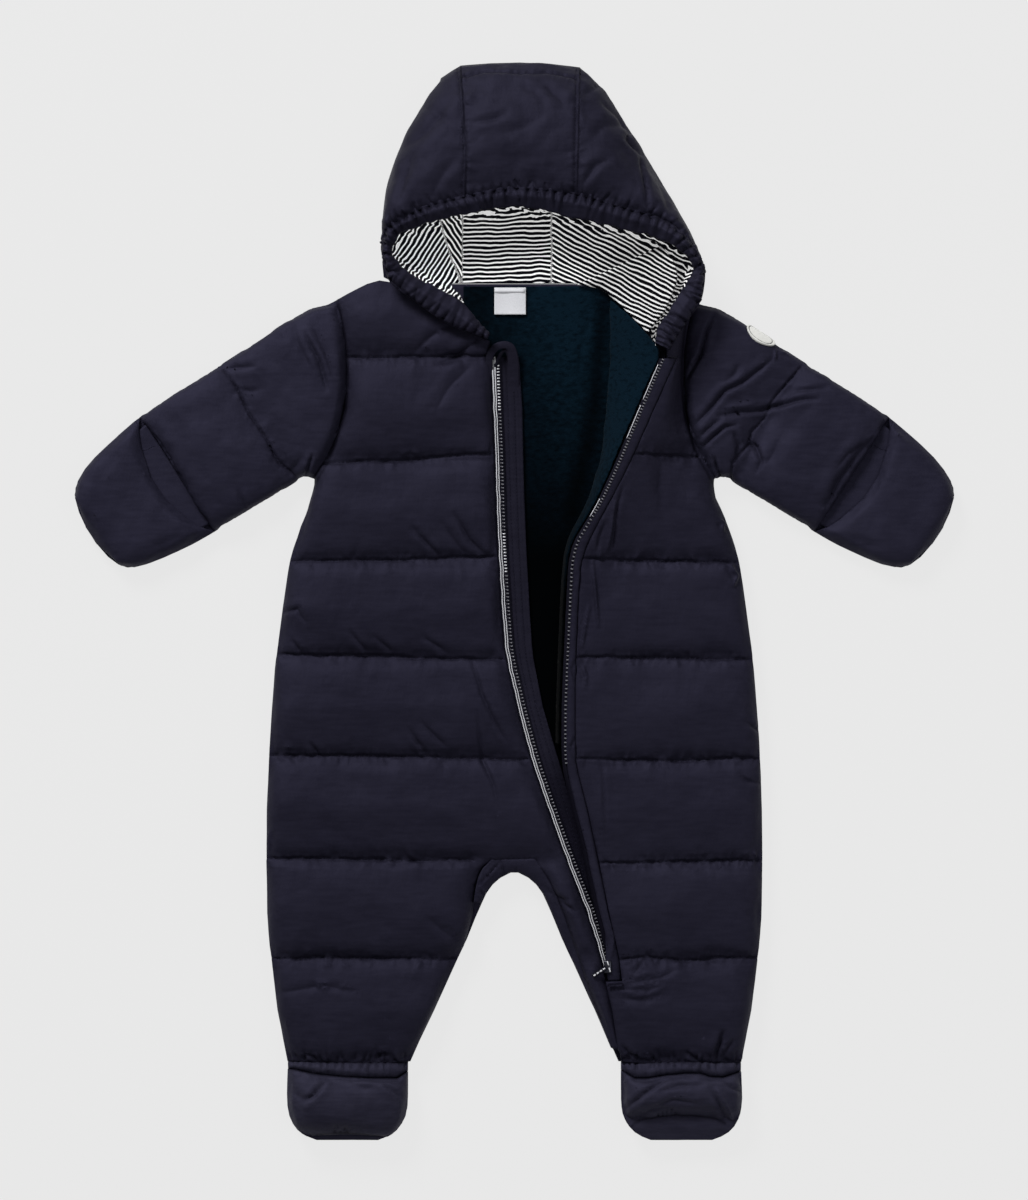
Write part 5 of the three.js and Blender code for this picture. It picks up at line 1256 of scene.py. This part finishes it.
# %% Lining that rises to the casing
# From the casing's inner edge down to the hood's floor: its height there, and how far in it reaches
RISE = [
    (-27, 188, 27.5, 5), (-38, 201, 28, 9), (-57.7, 211.5, 29.5, 14), (-75, 222.2, 31, 17), (-81.3, 232.2, 33, 19),
    (-77.7, 242, 35, 18), (-60.3, 251, 38, 13), (-34, 258.5, 40, 9), (0, 264, 41, 9), (39.7, 256.5, 41, 9),
    (68, 249, 41, 12),
    (95, 241, 42, 17), (112, 230.5, 43, 19), (118.4, 220.5, 43, 19), (112.6, 208.8, 43.5, 17), (102.4, 192, 44, 14),
    (94.6, 180, 44.5, 11), (93, 171, 45, 9),
]
FLOOR_OF_HOOD = 8.4
ROWS_DOWN = 12
rail = np.array(RISE, float)
rail_run = np.concatenate([[0], np.cumsum(np.hypot(*np.diff(rail[:, :2], axis=0).T))])
steps = int(rail_run[-1] / 1.2)
bm = bmesh.new()
bmesh.ops.create_grid(bm, x_segments=steps, y_segments=ROWS_DOWN, size=0.5)
for v in bm.verts:
    at, down = (v.co.x + 0.5) * rail_run[-1], v.co.y + 0.5
    x, y, top, reach = (float(np.interp(at, rail_run, rail[:, k])) for k in range(4))
    inward = (Vector((min(max(x, -40), 80), 226 if x < 60 else 214, 0)) - Vector((x, y, 0))).normalized()
    bunch = 0.9 * noise.noise(Vector((at / 3.2, down * 1.5, 1.0))) + 0.7 * noise.noise(Vector((at / 1.4, down, 5.0)))
    bunch *= 0.3 + 0.7 * math.exp(-((x - 5) / 52) ** 4)
    out = reach * down - 2.0 + bunch * (0.4 + 1.2 * down)
    height = FLOOR_OF_HOOD + (top - 7 - FLOOR_OF_HOOD) * (1 - down) ** 1.7 + bunch * 0.9
    v.co = (Vector((x, y, height)) + inward * out) * MM
bmesh.ops.recalc_face_normals(bm, faces=bm.faces[:])
bmesh.ops.solidify(bm, geom=bm.faces[:], thickness=0.6 * MM)
bmesh.ops.recalc_face_normals(bm, faces=bm.faces[:])
places, normals = points_of(bm)
across, _ = stripes_across(places)
off = off_line(places, [row[:2] for row in RISE])
across += 2.2 * rumple(places, 4.5, 1.0, 57) * hump(off, 5)
print("rising lining cm2", round(sum(f.calc_area() for f in bm.faces) * 5000, 1), "along", round(rail_run[-1]), "mm")
rise = finish_piece(bm, "jersey_lining_rise", JERSEY, across=across)

# %% [markdown]
# ## Sleeves
# Each sleeve is one padded tube with a single quilting line. Folds fan out from the armhole, deeper on the
# left, where the arm is pulled down a little.

# %% Sleeve lines and creases
SLEEVE_LINE_RIGHT = [(-194.3, 155.5), (-186, 144), (-176.3, 125.8), (-164.7, 107.5), (-156.3, 92.5), (-147, 83)]
SLEEVE_LINE_LEFT = [
    (191.3, 156.8), (182, 145.6), (171.6, 132.8), (168, 123.5), (158.8, 112.3), (157, 105), (145.9, 92), (144, 81),
]
SLEEVE_RIGHT_CREASES = [
    {"line": [(-139, 177.5), (-129.7, 159.2), (-124.7, 140.8)], "width": 2.2, "depth": 1.5},
    {"line": [(-134, 182), (-126, 166), (-121, 150)], "width": 2.4, "depth": 0.9},
    {"line": [(-149, 188), (-144, 172), (-136, 156)], "width": 3.6, "depth": 0.8},
    {"line": [(-192, 156), (-180, 156), (-173, 156.5)], "width": 2.2, "depth": 0.8},
    {"line": [(-184, 142), (-176, 140), (-170, 141)], "width": 2.4, "depth": 0.6},
    {"line": [(-134.7, 97), (-137, 90), (-139, 84)], "width": 1.2, "depth": 1.4},
    {"line": [(-142, 96), (-146, 90), (-150, 86)], "width": 2.2, "depth": 0.7},
    {"line": [(-184, 73), (-181, 66), (-179, 62)], "width": 1.8, "depth": 0.8},
    {"line": [(-163, 106), (-160, 96), (-157, 90)], "width": 4.0, "depth": 0.6},
    {"line": [(-245, 113), (-238, 103), (-228, 86), (-216, 68)], "width": 4.2, "depth": 1.7},
]
SLEEVE_LEFT_CREASES = [
    {"line": [(133.5, 192), (128.3, 181), (123.7, 164), (114, 148)], "width": 1.5, "depth": 1.8},
    {"line": [(170.9, 160.4), (164.3, 154.9), (151.5, 145.6), (140.3, 140.2), (131, 129), (120, 117)],
     "width": 1.8, "depth": 1.7},
    {"line": [(136.6, 123.5), (145.9, 125.3), (164.3, 127), (177.4, 130.8), (194, 134.6), (201.5, 134.6)],
     "width": 1.6, "depth": 1.4},
    {"line": [(139, 129), (152, 130.5), (165, 133)], "width": 1.8, "depth": -0.6},
    {"line": [(123.7, 101.2), (133, 110.4), (140.3, 116.2), (147.7, 117)], "width": 1.4, "depth": 1.6},
    {"line": [(122, 107), (128, 114), (137, 121)], "width": 1.6, "depth": 0.9},
    {"line": [(133, 95.6), (134.8, 88.2), (138, 81)], "width": 1.1, "depth": 1.8},
    {"line": [(186.6, 140.2), (197.7, 141), (209, 142.8)], "width": 1.6, "depth": 0.7},
    {"line": [(155, 104.9), (160.7, 103), (164.3, 93.8), (161.7, 86)], "width": 1.7, "depth": 1.2},
    {"line": [(146, 112), (150, 104), (148, 94)], "width": 1.8, "depth": 1.0},
    {"line": [(173.7, 166.8), (173.6, 163), (173.7, 160.4)], "width": 0.8, "depth": -0.9},
    {"line": [(177.4, 166), (180, 164.8), (183, 163.5)], "width": 0.9, "depth": -0.7},
    {"line": [(150, 158), (146, 150), (140, 146)], "width": 2.4, "depth": 0.7},
    {"line": [(176, 108), (172, 98), (166, 90)], "width": 3.0, "depth": 0.7},
    {"line": [(238, 109), (227.5, 96), (217.5, 82), (207, 62)], "width": 3.4, "depth": 1.5},
    {"line": [(232, 104), (222, 98), (214, 88)], "width": 2.2, "depth": 0.7},
]

# %% Sleeve cloth
SLEEVE_END = {"right": [(-247, 122), (-222, 86), (-201, 50)], "left": [(247, 122), (222, 86), (201, 50)]}
END_SHORT = {"pitch": (5, 11), "reach": (5, 14), "rise": (0.2, 0.6), "wide": (1.0, 2.2)}
ARMHOLE = [(119.5, 203.5), (114, 180), (112.4, 160), (112.4, 145), (114, 126), (120.5, 107), (128, 92), (133.6, 81)]
ARMHOLE_ROUND = 7.0
ARMHOLE_TOP = 12.6
ARMHOLE_BASE = 5.0
SLEEVE_THICK = 15
sleeve_surfaces = {}
for side, sign, table, line in (("right", -1, SLEEVE_RIGHT_CREASES, SLEEVE_LINE_RIGHT),
                                ("left", 1, SLEEVE_LEFT_CREASES, SLEEVE_LINE_LEFT)):
    rng = np.random.default_rng(61 + sign)
    armhole = [(sign * x, y) for x, y in ARMHOLE]
    bm, _ = cloth_copy(f"sleeve_{side}", fine=2.4, coarse=14, seams=65, rounds=6, lines=[line, armhole], reach=5,
                       size=1.2)
    refine_near(bm, [row["line"] for row in table], 3.2, 1.1)
    held = seam_verts(bm, 65)
    meet(bm, [f"front_{side}"], 2.6, 6)
    meet(bm, [f"cuff_{side}", f"mitten_back_{side}"], 1.2)
    places, normals = points_of(bm)
    painted_shade_and_print = np.zeros(len(places))
    height = rumple(places, 38, 1.8, 63 + sign) + rumple(places, 12, 0.8, 64) + rumple(places, 5, 0.2, 65)
    height += stitched_line(places, line, rng, depth=1.4, width=0.9, draw=1.2, spread=7, short=1.2, long=1.2,
                            painted_shade_and_print=painted_shade_and_print, dark=0.8, wander=0.25)
    height += CREASE_DEPTH * creases(places, table, painted_shade_and_print)
    run, off, length = along(places, SLEEVE_END[side])
    height += puckers(run, off, length, rng, **END_SHORT)
    run, off, length = along(places, armhole)
    height += puckers(run, off, length, rng, **SHORT_PUCKERS) * (1.6 if side == "left" else 0.8)
    # Dark armhole seam: the thread and painted shade in the seam
    painted_shade_and_print += 0.85 * hump(off_line(places, armhole_of(side)), 0.9)
    height *= 0.2 + 0.8 * fade_in(away_from(bm, held), 4)
    move_out(bm, height, normals)
    points = np.array([v.co for v in bm.verts]) * 1000
    run, off, length = along(points, armhole)
    close = np.sqrt(1 - (1 - np.clip(np.abs(off) / ARMHOLE_ROUND, 0, 1)) ** 2)
    top = points[:, 2]
    least = (ARMHOLE_TOP - ARMHOLE_BASE) / SLEEVE_THICK
    lowered = np.where(top > ARMHOLE_BASE, ARMHOLE_BASE + (top - ARMHOLE_BASE) * (least + (1 - least) * close), top)
    for v, z in zip(bm.verts, lowered):
        v.co.z = z * MM
    bm.normal_update()
    sleeve_surfaces[side] = BVHTree.FromBMesh(bm)
    stitches.setdefault("sleeve", []).extend(stitch_spots(line, [sleeve_surfaces[side]], 3.0, 0.72, sink=0.05))
    sleeve = finish_piece(bm, f"quilted_sleeve_{side}", NAVY_LIGHT, [f"sleeve_{side}"], painted_shade_and_print=painted_shade_and_print)

# %% [markdown]
# ## Mittens and cuffs
# A flap folds over the hand and leaves a lens-shaped opening, where the inner cuff shows. Two rows of
# stitches follow the flap's edge, and a short seam crosses the cuff.

# %% Mittens and cuffs
FLAP_EDGE = [(-253.8, 119.2), (-248, 105.8), (-241.3, 92.5), (-231.3, 74.2), (-219.7, 57.5), (-203, 46.8)]
MITTEN_CREASES = [
    {"line": [(262, 104), (272, 86), (280, 70)], "width": 6, "depth": 0.5},
    {"line": [(222, 44), (234, 38), (246, 36)], "width": 3, "depth": 0.5},
]
for side, sign in (("right", -1), ("left", 1)):
    flap_edge = [(-sign * x, y) for x, y in FLAP_EDGE]
    topstitch = [beside(flap_edge, sign * offset) for offset in (-1.5, -3.0)]
    mirrored_creases = [{**row, "line": [(sign * x, y) for x, y in row["line"]]} for row in MITTEN_CREASES]
    for node, name, soft in [("mitten_back", "mitten_back", 0.6), ("cuff", "inner_cuff", 0.6),
                             ("mitten_flap", "mitten_flap", 0.9)]:
        near = topstitch if node == "mitten_flap" else ()
        bm, held = cloth_copy(f"{node}_{side}", fine=2.0, coarse=12, rounds=10, lines=near, reach=3, size=0.9)
        meet(bm, {"mitten_back": [f"sleeve_{side}"], "cuff": [f"sleeve_{side}"],
                  "mitten_flap": [f"sleeve_{side}", f"cuff_{side}"]}[node], 1.2)
        places, normals = points_of(bm)
        painted_shade_and_print = np.zeros(len(places))
        height = rumple(places, 24, soft * 1.4, 71, (1.6, 0.7)) + rumple(places, 8, soft * 0.4, 72)
        if node == "mitten_flap":
            height += creases(places, mirrored_creases)
            for line in topstitch:
                off = off_line(places, line)
                height -= 0.5 * hump(off, 0.55)
                # Dark topstitch lines: the thread and painted shade in their grooves
                painted_shade_and_print += 0.5 * hump(off, 0.4)
            height *= 0.35 + 0.65 * fade_in(away_from(bm, held), 5)
        else:
            height *= fade_in(away_from(bm, held), 6)
        move_out(bm, height, normals)
        surface = BVHTree.FromBMesh(bm)
        if node == "mitten_flap":
            for line in topstitch:
                stitches.setdefault("mitten", []).extend(stitch_spots(line, [surface], 2.2))
        if node == "cuff":
            seam = [(sign * 250, 100), (sign * 244.5, 101.5), (sign * 240, 104)]
            stitches.setdefault("mitten", []).extend(stitch_spots(seam, [surface], 1.8, 0.8))
        piece = finish_piece(bm, f"{name}_{side}_cloth", NAVY_LIGHT, [f"{node}_{side}"],
                             painted_shade_and_print=painted_shade_and_print)

# %% [markdown]
# ## Ankles and booties
# A narrow gathered casing joins each leg to its bootie. The bootie's upper has soft creases towards its
# corners, and pleats run off the middle of the toe seam.

# %% Bootie shapes
BOOTIE_SHAPES = {
    "right": {
        "creases": [
            {"line": [(-126.3, -320), (-133, -328), (-139.7, -332.5)], "width": 1.6, "depth": 1.0},
            {"line": [(-86.3, -322), (-81, -326), (-75.2, -329.7)], "width": 1.3, "depth": 0.9},
            {"line": [(-108, -320), (-100, -324), (-92, -323)], "width": 3.0, "depth": 0.5},
            {"line": [(-148, -326), (-140, -331), (-132, -329)], "width": 2.4, "depth": 0.6},
        ],
        "drop": 1.5,
        "pleats": [(-119.7, -352), (-117.4, -350.6), (-115.6, -352.4), (-113.2, -351.4), (-111.6, -353)],
        "toe": [(-137, -356.6), (-124.1, -354.8), (-114.1, -354.6), (-101.9, -355.2), (-87.5, -356.6)],
    },
    "left": {
        "creases": [
            {"line": [(100.3, -318), (85.7, -328), (73.7, -338)], "width": 1.8, "depth": 1.1},
            {"line": [(96, -326), (110, -321.6), (124, -322.4)], "width": 1.8, "depth": 0.8},
            {"line": [(134.8, -324.5), (141.5, -337), (145.9, -347)], "width": 1.5, "depth": -1.1},
            {"line": [(131, -326), (137, -337), (141, -347)], "width": 1.6, "depth": 0.9},
            {"line": [(140.3, -320.5), (147, -325), (150.3, -327)], "width": 1.4, "depth": 0.9},
            {"line": [(90, -337), (106, -331.5), (124, -334.5)], "width": 2.2, "depth": 0.7},
            {"line": [(84, -343), (92, -338), (102, -336.6)], "width": 2.2, "depth": 0.6},
        ],
        "drop": 4.0,
        "pleats": [(95.7, -343), (98.6, -341.6), (101.4, -340), (104.6, -339), (107, -341.4)],
        "toe": [(78.1, -350), (83.7, -345.8), (94.8, -343.6), (108.1, -342.5), (123.7, -343), (134.8, -345),
                (140.3, -348)],
    },
}

# %% Ankles and booties
for side, shape in BOOTIE_SHAPES.items():
    ankle = ANKLE_RIGHT if side == "right" else ANKLE_LEFT
    for node, name, soft in [("ankle_casing", "gathered_ankle", 0.5), ("bootie_upper", "bootie_upper", 1.0),
                             ("bootie_sole", "bootie_sole", 0.5)]:
        rng = np.random.default_rng(83 if side == "right" else 91)
        bm, held = cloth_copy(f"{node}_{side}", fine=1.5, coarse=10, rounds=3 if node == "ankle_casing" else 9)
        if node != "bootie_sole":
            meet(bm, {"ankle_casing": [f"front_{side}", f"bootie_upper_{side}"],
                      "bootie_upper": [f"ankle_casing_{side}"]}[node], 0.5)
        places, normals = points_of(bm)
        upper = np.clip((places[:, 2] - 7) / 4, 0, 1)
        painted_shade_and_print = np.zeros(len(places))
        height = rumple(places, 22, soft * 1.3, 81) + rumple(places, 8, soft * 0.45, 82, (1.4, 0.7))
        if node != "bootie_sole":
            run, off, length = along(places, ankle)
            height += puckers(run, off, length, rng, **ANKLE_SHORT) * upper * 1.1
            run, off, length = along(places, [(x, BAND_Y) for x, _ in BAND[side]])
            height += puckers(run, off, length, rng, **SHORT_PUCKERS) * upper * 1.6
            # Dark seam between ankle and bootie: the thread and painted shade in the seam
            painted_shade_and_print += 0.7 * hump(off, 0.75) * upper
            # Painted shade in the gathers' valleys at the ankle
            gathered, painted_gather_shade, *_ = gathers_across(places, ankle, np.random.default_rng(7), **ANKLE_GATHERS)
            height += gathered * upper
            painted_shade_and_print += painted_gather_shade * upper
        if node == "bootie_upper":
            height += CREASE_DEPTH * creases(places, shape["creases"], painted_shade_and_print)
            for x, y in shape["pleats"]:
                height -= 1.0 * hump(places[:, 0] - x, 0.8) * hump(places[:, 1] - y, 3.0)
                # Painted shade in each pleat
                painted_shade_and_print += 0.6 * hump(places[:, 0] - x, 0.5) * hump(places[:, 1] - y, 2.5)
        height *= 0.3 + 0.7 * fade_in(away_from(bm, held), 3)
        move_out(bm, height, normals)
        toe_off = off_line(places, shape["toe"])
        if node == "bootie_upper":
            for v, off in zip(bm.verts, toe_off):
                if v.co.z > 0.014:
                    v.co.z -= shape["drop"] * math.exp(-(max(off, 0) / 6) ** 2) * MM
            # Dark toe seam: the thread and painted shade in the seam
            painted_shade_and_print += 0.8 * hump(toe_off, 0.9)
        if node == "bootie_sole":
            for v, normal in zip(bm.verts, normals):
                if v.co.z > 0.006 and normal[2] > 0.2:
                    v.co.z += shape["drop"] * 0.75 * min(max((-358.8 - v.co.y * 1000) / -8, 0), 1) * MM
            # Dark toe seam: the thread and painted shade in the seam
            painted_shade_and_print += 0.8 * hump(toe_off, 0.9)
        curve_band(bm, side)
        piece = finish_piece(bm, f"{name}_{side}_cloth", NAVY_FEET, [f"{node}_{side}"], painted_shade_and_print=painted_shade_and_print)

# %% [markdown]
# ## Threads
# All stitches of one kind are one mesh of short bevelled boxes, in thread a little darker than the cloth.

# %% Threads
THREAD_SIZE = (0, 0.42, 0.3)
for name, spots in stitches.items():
    small_boxes(f"stitches_{name}", spots, THREAD_SIZE, THREAD)
print("stitches", {name: len(spots) for name, spots in stitches.items()})

# %% [markdown]
# ## Label and badge
# The label is a bare piece of white satin, folded at its top and sewn at its two top corners. The badge is a
# bare white disc over the sleeve's upper edge with one thin dark ring.

# %% Label and badge
bm = merged_copy("neck_label")
halve_long_edges(bm, 1.2, 3)
for v in bm.verts:
    x, y = v.co.x * 1000, v.co.y * 1000
    droop = (200 - y) / 9
    v.co.z += (0.5 * max(droop, 0) ** 2 + 0.25 * math.sin((x + 3) * 0.35)) * MM
label = finish_piece(bm, "woven_neck_label", SATIN, ["neck_label"])
label_surface = BVHTree.FromObject(label, bpy.context.evaluated_depsgraph_get())
label_seam = stitch_spots([(-12.8, 208.2), (7.0, 208.2)], [label_surface], 1.6, 0.7)
small_boxes("label_stitches", label_seam, (0, 0.35, 0.25), SATIN)
bm = laid_strip([(-13.2, 207.0, 12.45), (7.4, 207.0, 12.45)], 2.6, 0.35, step=2, columns=2, arch=0.15)
finish_piece(bm, "label_top_fold", SATIN)

bm = merged_copy("shoulder_badge")
halve_long_edges(bm, 0.45, 1.5)
RING_AT, RING_WIDTH, RING_DARK, RING_DEPTH = 0.79, 0.035, 0.85, 0.25
outward = Vector((0.47, 0.7, 0.7)).normalized()
faced = [v for v in bm.verts if v.normal.dot(outward) > 0.1]
center = sum((v.co for v in faced), Vector()) / len(faced)
_, _, axes = np.linalg.svd(np.array([v.co - center for v in faced]), full_matrices=False)
spread = np.array([v.co - center for v in bm.verts]) @ axes[:2].T
spread /= np.abs(spread).max(axis=0)
radius = np.hypot(spread[:, 0], spread[:, 1])
facing = np.array([v.normal.dot(outward) > 0.1 for v in bm.verts])
ring = RING_DARK * hump(radius - RING_AT, RING_WIDTH) * facing
for v, depth in zip(bm.verts, ring):
    v.co -= v.normal * (RING_DEPTH * depth * MM)
finish_piece(bm, "round_badge", BADGE_WHITE, ["shoulder_badge"], painted_shade_and_print=ring)

# %% [markdown]
# ## Slider, pull and stop
# The slider is a small dark metal body with its edges rounded. Its pull is a short corded tab with a pale
# broken stripe, and the end of the opening is held by a sewn tab.

# %% Slider, pull and stop
bm = merged_copy("zip_slider")
bmesh.ops.bevel(bm, geom=[e for e in bm.edges if e.calc_face_angle(0) > 0.5], offset=0.0009, segments=3, profile=0.5,
                affect="EDGES", material=-1)
finish_piece(bm, "metal_slider", METAL, ["zip_slider"])
bm = merged_copy("zip_pull")
bmesh.ops.bevel(bm, geom=[e for e in bm.edges if e.calc_face_angle(0) > 0.5], offset=0.0004, segments=2, profile=0.5,
                affect="EDGES", material=-1)
finish_piece(bm, "corded_pull", TAPE, ["zip_pull"], body="pull")
PULL_START, PULL_END = Vector((60.6, -243.9, 21.55)), Vector((52.3, -249.6, 21.55))
small_boxes("pull_dashes", walk([PULL_START, PULL_END], 2.5), (1.7, 1.0, 0.3), SATIN, body="pull")
# Two small white bars on the slider's edges: painted highlight
painted_slider_highlights = [(Vector((62.2, -241.0, 20.1)), Vector((0.35, -1, 0))),
                (Vector((63.4, -245.4, 20.1)), Vector((0.3, -1, 0)))]
small_boxes("slider_painted_highlights", painted_slider_highlights, (3.0, 0.8, 0.35), SATIN)

bm = merged_copy("zip_end_tab")
halve_long_edges(bm, 1.5, 3)
finish_piece(bm, "zip_stop_tab", NAVY, ["zip_end_tab"])
tack = [(Vector((x, -255.0 + 0.12 * (x - 62), 23.1)), Vector((0.15, 1, 0))) for x in np.arange(62.6, 71.8, 0.75)]
small_boxes("stop_tack", tack, (1.5, 0.42, 0.3), THREAD)
